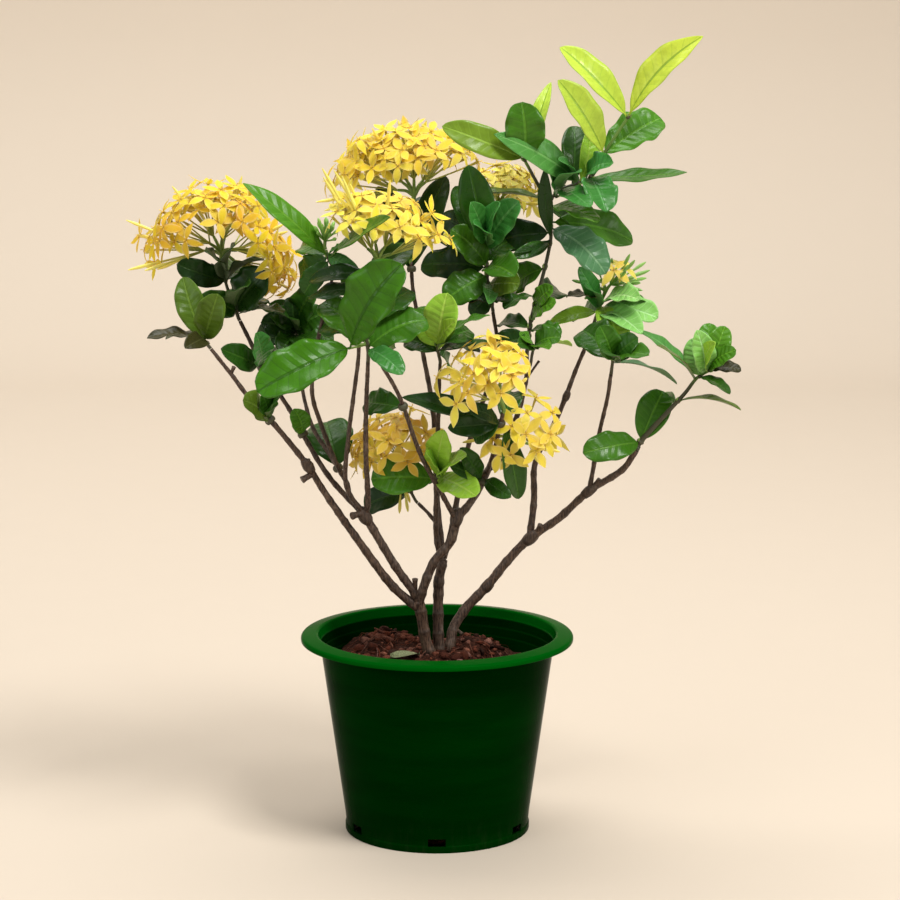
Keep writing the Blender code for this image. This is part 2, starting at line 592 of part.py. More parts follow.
def build_soil():
    draw = random.Random(11)
    sides = SOIL_SIDES
    slope = (SHOULDER_RADIUS - BASE_RADIUS + 0.8) / (POT_HEIGHT - 13.0)

    def wall(height):
        return (BASE_RADIUS - 0.8 + slope * height - WALL) * math.cos(math.pi / POT_SIDES) - 0.5

    low = FLOOR + 0.35
    rows = []
    for radius, height in ((wall(low), low), (wall(SOIL_LOW - 4.0), SOIL_LOW - 4.0)):
        rows.append([Vector((*ring_point(0.0, 0.0, radius, k / sides), height)) for k in range(sides)])
    edge = wall(SOIL_LOW - 4.0) - 0.6
    for radius in (edge, *reversed(SOIL_RINGS)):
        row = []
        for k in range(sides):
            share = (edge - radius) / edge
            x, y = ring_point(CROWN[0] * share, CROWN[1] * share, radius, k / sides)
            row.append(Vector((x, y, soil_height(x, y, draw))))
        rows.append(row)
    hole = CROWN_RADIUS + 0.6
    for height in (None, CROWN_BOTTOM - 0.4):
        row = []
        for k in range(sides):
            x, y = ring_point(CROWN[0], CROWN[1], hole, k / sides)
            row.append(Vector((x, y, soil_height(x, y, draw) if height is None else height)))
        rows.append(row)
    points = [Vector((0.0, 0.0, low))] + [p for row in rows for p in row]
    points.append(Vector((CROWN[0], CROWN[1], CROWN_BOTTOM - 0.4)))
    faces = []
    for k in range(sides):
        following = (k + 1) % sides
        faces.append((0, 1 + following, 1 + k))
        for ring in range(len(rows) - 1):
            a, b = 1 + ring * sides + k, 1 + ring * sides + following
            faces.extend(((a, b, b + sides), (a, b + sides, a + sides)))
        last = 1 + (len(rows) - 1) * sides
        faces.append((last + k, last + following, len(points) - 1))
    soil = new_solid("soil", [p * MM for p in points], faces)
    boolean(soil, soil_chips(draw), "UNION", "MANIFOLD")
    keep_main_body(soil)
    paint(soil, (0.11, 0.045, 0.025), 0.9)
    return soil


def soil_chips(draw):
    """Bark and husk chips, half sunk in the soil, clear of the trunks and of the pot's wall."""
    chips = []
    for k in range(CHIP_COUNT):
        angle, reach = 2.4 * k, 30.0 + 34.0 * (k % 4) / 4.0
        centre = Vector((reach * math.cos(angle), reach * math.sin(angle), 0.0))
        centre.z = soil_height(centre.x, centre.y, draw) + 0.6
        turn = Matrix.Rotation(draw.uniform(0.0, math.pi), 3, "Z")
        turn = turn @ Matrix.Rotation(draw.uniform(-0.5, 0.5), 3, "X")
        half = Vector((draw.uniform(5.0, 8.0), draw.uniform(2.6, 4.0), 2.0))
        corners = [(centre + turn @ Vector((x * half.x, y * half.y * (1.0 - 0.3 * x), z * half.z))) * MM
                   for x in (-1, 1) for y in (-1, 1) for z in (-1, 1)]
        faces = [(0, 1, 3, 2), (4, 6, 7, 5), (0, 4, 5, 1), (2, 3, 7, 6), (0, 2, 6, 4), (1, 5, 7, 3)]
        chips.append(new_solid("chip", corners, faces))
    return chips


def branch_path(name):
    return [seen(point) for point in BRANCHES[name].points]


def branch_radii(name):
    """Radii down a branch, tapering with its length, in metres."""
    branch, path = BRANCHES[name], branch_path(name)
    run = [0.0]
    for before, after in zip(path, path[1:]):
        run.append(run[-1] + (after - before).length)
    radii = [(branch.start + (branch.end - branch.start) * r / run[-1]) * MM for r in run]
    return radii


def knuckle(name, index, swell):
    """A short swelling where leaves once stood, as a barrel round the branch."""
    path, radius = branch_path(name), branch_radii(name)[index]
    centre = path[index]
    before, after = path[max(index - 1, 0)], path[min(index + 1, len(path) - 1)]
    along = (after - before).normalized()
    steps = (-1.5, -0.5, 0.5, 1.5)
    waist = (0.8, swell, swell, 0.8)
    return tube("knuckle", [centre + along * radius * s for s in steps], [radius * w for w in waist], 6)


def build_branches():
    crown_foot = Vector((CROWN[0], CROWN[1], CROWN_BOTTOM)) * MM
    crown_head = Vector((CROWN[0], CROWN[1], CROWN_TOP)) * MM
    middle = crown_foot.lerp(crown_head, 0.6)
    solids = [tube("crown", [crown_foot, middle, crown_head],
                   [CROWN_RADIUS * 0.9 * MM, CROWN_RADIUS * MM, CROWN_RADIUS * 0.8 * MM], 10)]
    for name in BRANCHES:
        sides = 7 if BRANCHES[name].start > 5.0 else 6 if BRANCHES[name].start > 3.0 else 5
        solids.append(tube(name, branch_path(name), branch_radii(name), sides))
    for start, end, radius in STUBS:
        ends = [seen(start), seen(end)]
        solids.append(tube("stub", ends, [radius * MM, radius * 0.85 * MM], 5))
    for name, index, swell in KNUCKLES:
        solids.append(knuckle(name, index, swell))
    body = fuse("branches", solids)
    paint(body, (0.09, 0.055, 0.04), 0.75)
    return body


def leaf_blade(leaf, foot=None):
    """A leaf with a raised midrib, flat beneath, its sides falling a little, arched from root to tip."""
    root, tip = foot or seen(leaf.root), seen(leaf.tip)
    along = (tip - root).normalized()
    facing = Vector(LEAF_FACING)
    facing = (facing - along * facing.dot(along)).normalized()
    facing = Matrix.Rotation(math.radians(leaf.roll), 3, along) @ facing
    across = along.cross(facing)
    length = (tip - root).length
    half = leaf.width * MM / 2.0
    thick = LEAF_THICKNESS * MM
    points = []
    stations = LEAF_STATIONS if length > SHORT_LEAF else SHORT_STATIONS
    for share, width in ((0.0, LEAF_ROOT * MM / half), *stations):
        rise = leaf.arch * MM * 4.0 * share * (1.0 - share)
        centre = root + along * length * share + facing * rise
        edge = across * half * width
        lift = facing * half * width * LEAF_FOLD
        points += [centre - edge + lift, centre + facing * thick, centre + edge + lift]
    points.append(tip)
    last = len(points) - 1
    faces = [(2, 1, 0)]
    for ring in range(len(stations)):
        a = 3 * ring
        b = a + 3
        faces += [(a, b + 1, b), (a, a + 1, b + 1), (a + 2, b + 2, b + 1), (a + 2, b + 1, a + 1)]
        faces += [(a, b, b + 2), (a, b + 2, a + 2)]
    a = last - 3
    faces += [(a + 1, last, a), (a + 2, last, a + 1), (a, last, a + 2)]
    return new_solid("leaf", points, faces)


def nearest_on(path, point):
    best, place = None, path[0]
    for before, after in zip(path, path[1:]):
        step = after - before
        share = max(0.0, min(1.0, (point - before).dot(step) / step.length_squared))
        candidate = before + step * share
        gap = (candidate - point).length
        if best is None or gap < best:
            best, place = gap, candidate
    return place


def petiole(leaf, foot):
    """A stalk from the twig's middle into the blade's root, where the root stands off the twig."""
    root, tip = seen(leaf.root), seen(leaf.tip)
    end = root + (tip - root).normalized() * 3.0 * MM
    return tube("petiole", [foot, end], [PETIOLE_RADIUS * 1.2 * MM, PETIOLE_RADIUS * 0.9 * MM], 5)


def clasp_collar(name, clasp):
    """A sheath round a branch, with a fine gap to it, that the leaves of a side node grow from."""
    index, share = clasp
    path, radii = branch_path(name), branch_radii(name)
    centre = path[index].lerp(path[index + 1], share)
    radius = radii[index] + (radii[index + 1] - radii[index]) * share
    along = (path[index + 1] - path[index]).normalized()
    side = along.orthogonal().normalized()
    up = along.cross(side)
    sides = 8
    inner = (radius + COLLAR_GAP) / math.cos(math.pi / sides)
    outer = inner + COLLAR_WALL
    low, high = -COLLAR_HALF, COLLAR_HALF
    points = []
    for size, height in ((inner, low), (outer, low), (outer, high), (inner, high)):
        for k in range(sides):
            x, y = ring_point(0.0, 0.0, size, k / sides)
            points.append(centre + along * height * MM + side * x + up * y)
    faces = []
    for ring in range(4):
        for k in range(sides):
            a, b = ring * sides + k, ring * sides + (k + 1) % sides
            c, d = (b + sides) % (4 * sides), (a + sides) % (4 * sides)
            faces.append((a, b, c, d))
    return new_solid("collar", points, faces), centre, outer


def twig_path(shoot):
    """The green twig's middle line: it starts a fine gap above the end of its woody branch."""
    path = [seen(point) for point in shoot.twig]
    if shoot.branch:
        woody = branch_path(shoot.branch)
        end, along = woody[-1], (woody[-1] - woody[-2]).normalized()
        path = [end + along * SEAT, end + along * TWIG_BEND] + path
    return path


def shoot_twig(shoot, path):
    start = branch_radii(shoot.branch)[-1] if shoot.branch else TWIG_START
    count = len(path) - 1
    radii = [start + (TWIG_END - start) * i / count for i in range(count + 1)]
    return tube("twig", path, radii, 5)


def shoot_solids(shoot):
    solids = []
    if shoot.clasp:
        collar, centre, outer = clasp_collar(shoot.branch, shoot.clasp)
        solids.append(collar)
        for leaf in shoot.leaves:
            root = seen(leaf.root)
            outward = (root - centre).normalized()
            solids.append(leaf_blade(leaf, centre + outward * (outer - COLLAR_SINK)))
        return solids
    path = twig_path(shoot)
    solids.append(shoot_twig(shoot, path))
    for leaf in shoot.leaves:
        foot = nearest_on(path, seen(leaf.root))
        if (foot - seen(leaf.root)).length > STALKED:
            solids.append(petiole(leaf, foot))
            solids.append(leaf_blade(leaf))
        else:
            solids.append(leaf_blade(leaf, foot))
    return solids


def build_shoots():
    joined = {"tall_shoot": ("tall_shoot", "tall_shoot_side")}
    for name, shoot in SHOOTS.items():
        if name == "tall_shoot_side":
            continue
        solids = []
        for piece in joined.get(name, (name,)):
            solids += shoot_solids(SHOOTS[piece])
        body = fuse(name, solids)
        paint(body, (0.07, 0.22, 0.02), 0.4)


def head_seat(head):
    """Where a head's stalk starts: a fine gap past the end of the twig or branch that carries it."""
    if head.seat in BRANCHES:
        path, radius = branch_path(head.seat), branch_radii(head.seat)[-1]
    else:
        path, radius = twig_path(SHOOTS[head.seat]), TWIG_END
    end, along = path[-1], (path[-1] - path[-2]).normalized()
    return end + along * SEAT, along, radius


def floret(core, ball, face, turn):
    """A four-petalled floret on its tube, from just inside the head's core to the floret's face."""
    outward = (face - core).normalized()
    side = outward.orthogonal().normalized()
    side = Matrix.Rotation(turn, 3, outward) @ side
    up = outward.cross(side)
    points = [face + outward * FLORET_CROWN * MM]
    rim = []
    for petal in range(4):
        angle = math.pi / 2.0 * petal
        for swing, reach, drop in zip((-math.pi / 4.0, 0.0), (PETAL_NOTCH, PETAL_LENGTH), PETAL_DROPS):
            where = angle + swing
            rim.append(len(points))
            rim_way = side * math.cos(where) + up * math.sin(where)
            points.append(face + rim_way * reach * MM + outward * drop * MM)
    ring = []
    throat = face - outward * THROAT_DEPTH * MM
    foot = core + outward * ball * TUBE_FOOT * MM
    for centre, radius in ((throat, FLORET_THROAT), (foot, TUBE_FOOT_RADIUS)):
        for degrees in (22.5, 157.5, 270.0):
            where = math.radians(degrees)
            ring.append(len(points))
            points.append(centre + (side * math.cos(where) + up * math.sin(where)) * radius * MM)
    faces = [(0, rim[k], rim[(k + 1) % 8]) for k in range(8)]
    holders = (0, 0, 0, 1, 1, 1, 2, 2)
    for k in range(8):
        corner = rim[(k + 1) % 8]
        near, following = ring[holders[k]], ring[holders[(k + 1) % 8]]
        faces.append((near, corner, rim[k]))
        if near != following:
            faces.append((near, following, corner))
    for k in range(3):
        a, b = ring[k], ring[(k + 1) % 3]
        c, d = ring[3 + (k + 1) % 3], ring[3 + k]
        faces.append((a, d, c, b))
    faces.append((ring[3], ring[5], ring[4]))
    return new_solid("floret", points, faces)


def floret_faces(head):
    """Places of the florets' faces: those read in the front view lie on a dome, and some repeat behind it."""
    core = seen(head.core)
    radius = head.radius * MM
    draw = random.Random(len(head.florets))
    places = []
    for k, (column, row) in enumerate(head.florets):
        flat = seen((column, row, head.core[2]))
        offset = flat - core
        spare = radius * radius - offset.length_squared
        depth = math.sqrt(spare) if spare > 0.0 else 0.0
        front = head.core[2] - depth / MM * DOME
        places.append(seen((column, row, front)))
        if k % head.behind == 0 and depth > BEHIND_LEAST:
            mirrored = seen((column, row, head.core[2] + depth / MM * DOME + BEHIND_SHIFT))
            mirrored.x += draw.uniform(-4.0, 4.0) * MM
            places.append(mirrored)
    return core, places


def spear(core, ball, tip):
    """A closed bud: a slim tube that swells below its point."""
    along = (tip - core).normalized()
    length = (tip - core).length
    path = [core + along * ball * TUBE_FOOT * MM]
    path += [core + along * length * share for share, _ in SPEAR_SHAPE]
    radii = [TUBE_FOOT_RADIUS * MM] + [radius * MM for _, radius in SPEAR_SHAPE]
    return tube("spear", path, radii, 3)


def core_ball(centre, radius):
    """The crowded fork of a head's stalks, as a small faceted core."""
    profile = ((0.0, -1.0), (0.8, -0.6), (0.9, 0.45), (0.0, 1.0))
    ball = turned("core", [(r * radius, h * radius) for r, h in profile], 7)
    ball.data.transform(Matrix.Translation(centre))
    return ball


def build_heads():
    for name, head in HEADS.items():
        core, places = floret_faces(head)
        start, along, thick = head_seat(head)
        bend = start + along * STALK_BEND
        ball = CORE_SHARE * head.radius
        solids = [core_ball(core, ball), tube("stalk", [start, bend, core], [thick, thick, STALK_END], 5)]
        draw = random.Random(len(name))
        for place in places:
            solids.append(floret(core, ball, place, draw.uniform(0.0, math.pi / 2.0)))
        for tip in SPEARS.get(name, ()):
            solids.append(spear(core, ball, seen(tip)))
        body = fuse(name, solids)
        paint(body, (0.85, 0.55, 0.05), 0.5)


def build_buds():
    for name, (seat, foot, tips) in BUDS.items():
        end = twig_path(SHOOTS[seat])
        along = (end[-1] - end[-2]).normalized()
        start = end[-1] + along * SEAT
        centre = seen(foot)
        path = [start, start + along * TWIG_BEND, centre]
        solids = [core_ball(centre, BUD_CORE), tube("stalk", path, [TWIG_END, TWIG_END, TWIG_END], 5)]
        for tip in tips:
            solids.append(spear(centre, BUD_CORE, seen(tip)))
        body = fuse(name, solids)
        paint(body, (0.2, 0.4, 0.05), 0.45)


def main():
    clear_scene()
    build_pot()
    build_soil()
    build_branches()
    build_shoots()
    build_heads()
    build_buds()


main()
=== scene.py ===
import math
import random
from collections import namedtuple

import bpy
import numpy as np
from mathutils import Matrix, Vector, noise


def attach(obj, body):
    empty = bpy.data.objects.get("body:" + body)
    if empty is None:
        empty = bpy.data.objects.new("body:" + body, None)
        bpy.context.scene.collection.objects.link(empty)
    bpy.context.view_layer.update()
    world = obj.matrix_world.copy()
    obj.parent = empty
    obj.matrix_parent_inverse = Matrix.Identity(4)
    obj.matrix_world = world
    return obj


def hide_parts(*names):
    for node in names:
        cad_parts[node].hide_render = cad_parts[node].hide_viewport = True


bl_info = {
    "name": "Potted ixora",
    "version": (1, 0, 0),
    "blender": (4, 5, 0),
    "location": "View3D > Sidebar > Ixora",
    "description": "Dresses the ixora's solids with fine leaves, florets, bark, soil and a moulded pot",
    "category": "Object",
}

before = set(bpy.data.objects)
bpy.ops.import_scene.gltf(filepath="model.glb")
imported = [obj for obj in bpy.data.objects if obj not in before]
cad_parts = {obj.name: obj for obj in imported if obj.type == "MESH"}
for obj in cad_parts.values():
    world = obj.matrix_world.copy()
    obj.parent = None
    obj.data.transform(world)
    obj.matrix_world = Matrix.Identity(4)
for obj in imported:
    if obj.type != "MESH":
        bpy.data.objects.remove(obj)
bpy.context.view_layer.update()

MM = 0.001

# The front view that the plant was read in: an eye 2 m off, looking slightly down
EYE = Vector((0.0096, -2.0, 0.6254))
EYE_TILT = 0.1675
EYE_SCALE = 2750.8
VIEW_CENTRE = 450.0
FRAME_WIDTH = 900.0
SENSOR = 36.0

Branch = namedtuple("Branch", "start end points")
Shoot = namedtuple("Shoot", "branch clasp twig leaves")
Leaf = namedtuple("Leaf", "root tip width roll arch tone")
Head = namedtuple("Head", "seat core radius behind extra tints florets more spears size bare green",
                  defaults=((), (), 1.0, False, False))

# Woody branches: radius at start and end in mm, then (column, row, depth in mm) down the front view
BRANCHES = {
    "trunk_a": Branch(6.0, 5.2, ((434, 661, 12), (427, 645, 11), (423, 625, 9), (419, 600, 6))),
    "a_left": Branch(4.6, 1.7, ((420, 608, 7), (413, 604, 6), (389, 582, 2), (350, 529, -6),
        (323, 490, -16), (308, 466, -22), (280, 431, -28), (270, 420, -29), (250, 399, -30),
        (231, 374, -30), (211, 349, -30))),
    "a_middle": Branch(4.2, 4.0, ((419, 602, 6), (413, 591, 4), (396, 567, 0), (365, 516, -8))),
    "a_head_left": Branch(2.8, 1.9, ((365, 516, -8), (330, 478, -4), (305, 438, 2), (291, 412, 6),
        (282, 398, 8), (262, 367, 12), (249, 339, 16), (240, 321, 18))),
    "a_dark": Branch(2.7, 1.7, ((365, 516, -8), (351, 500, 2), (346, 481, 10), (330, 455, 20),
        (314, 430, 28), (305, 402, 36), (300, 374, 42))),
    "a_bud": Branch(2.5, 1.6, ((346, 481, 10), (335, 461, -2), (321, 424, -8), (312, 390, -14),
        (318, 340, -24), (330, 290, -28), (333, 272, -28))),
    "a_front_left": Branch(2.5, 1.8, ((365, 516, -8), (346, 484, -22), (349, 433, -38), (353, 400, -48),
        (358, 362, -57), (359, 343, -60))),
    "a_front_middle": Branch(3.0, 1.9, ((365, 516, -8), (368, 500, -14), (366, 458, -30), (366, 413, -42),
        (368, 362, -60))),
    "a_right": Branch(4.6, 4.2, ((419, 604, 6), (424, 586, 3), (434, 562, 1), (451, 541, -2), (457, 518, -4))),
    "a_front_right": Branch(2.6, 1.8, ((456, 520, -4), (443, 496, -14), (420, 453, -30), (400, 398, -50),
        (380, 362, -66))),
    "a_tall": Branch(3.9, 2.0, ((456, 520, -4), (470, 503, -4), (480, 487, -3), (488, 470, 0),
        (503, 447, 16), (517, 416, 22), (526, 380, 20), (527, 354, 17))),
    "a_head_front": Branch(2.6, 1.9, ((487, 473, -1), (493, 455, -18), (497, 439, -27), (503, 413, -35))),
    "a_side": Branch(1.7, 1.5, ((518, 412, 22), (524, 385, 8), (530, 366, -2))),
    "a_head_low": Branch(1.9, 1.6, ((488, 471, 0), (500, 462, -1), (509, 452, -4))),
    "trunk_b": Branch(5.6, 4.8, ((440, 660, 20), (439, 645, 20), (438, 620, 20), (439, 582, 18),
        (443, 560, 17))),
    "b_shoot": Branch(3.2, 1.7, ((442, 564, 17), (437, 540, 14), (436, 519, 9), (437, 480, 0),
        (438, 430, -12), (439, 395, -20), (440, 364, -25))),
    "b_head_top": Branch(3.4, 1.8, ((443, 562, 17), (441, 540, 19), (437, 500, 22), (436, 450, 26),
        (434, 420, 29), (430, 390, 32), (423, 353, 36), (418, 318, 39), (413, 290, 41), (411, 262, 42))),
    "b_right": Branch(3.2, 1.8, ((444, 558, 17), (452, 528, 24), (457, 500, 30), (470, 440, 32),
        (490, 380, 30), (497, 345, 27), (493, 312, 24))),
    "b_low": Branch(2.0, 1.6, ((437, 524, 20), (428, 513, 22), (418, 503, 23))),
    "trunk_c": Branch(5.4, 3.0, ((447, 657, 24), (450, 645, 25), (454, 627, 29), (467, 607, 33),
        (487, 586, 34), (509, 559, 34), (530, 538, 32), (559, 518, 28), (589, 491, 22), (622, 470, 16),
        (636, 450, 12))),
    "c_back": Branch(3.6, 1.8, ((530, 536, 32), (534, 500, 40), (534, 470, 46), (540, 450, 50),
        (556, 420, 54), (566, 396, 56), (575, 372, 58), (585, 348, 58), (593, 326, 57))),
    "c_front": Branch(2.4, 1.8, ((589, 491, 22), (593, 470, 18), (600, 430, 8), (607, 400, 0),
        (611, 374, -6))),
}
STUBS = (
    ((415, 598, 5), (415, 579, 2), 1.9), ((310, 468, -22), (307, 460, -24), 2.0),
    ((314, 473, -20), (302, 480, -24), 2.3), ((590, 490, 22), (600, 480, 18), 2.0),
    ((534, 537, 32), (541, 525, 28), 2.0), ((231, 374, -30), (234, 367, -32), 1.3),
    ((366, 512, -8), (352, 516, -16), 2.4), ((525, 381, 7), (539, 361, 14), 0.9),
    ((454, 627, 31), (462, 634, 24), 1.3),
)
KNUCKLES = (
    ("trunk_b", 3, 1.05), ("trunk_c", 4, 1.08), ("trunk_c", 6, 1.35), ("trunk_c", 8, 1.4),
    ("a_left", 5, 1.5), ("a_middle", 3, 1.35), ("a_right", 4, 1.3), ("c_back", 5, 1.35),
)

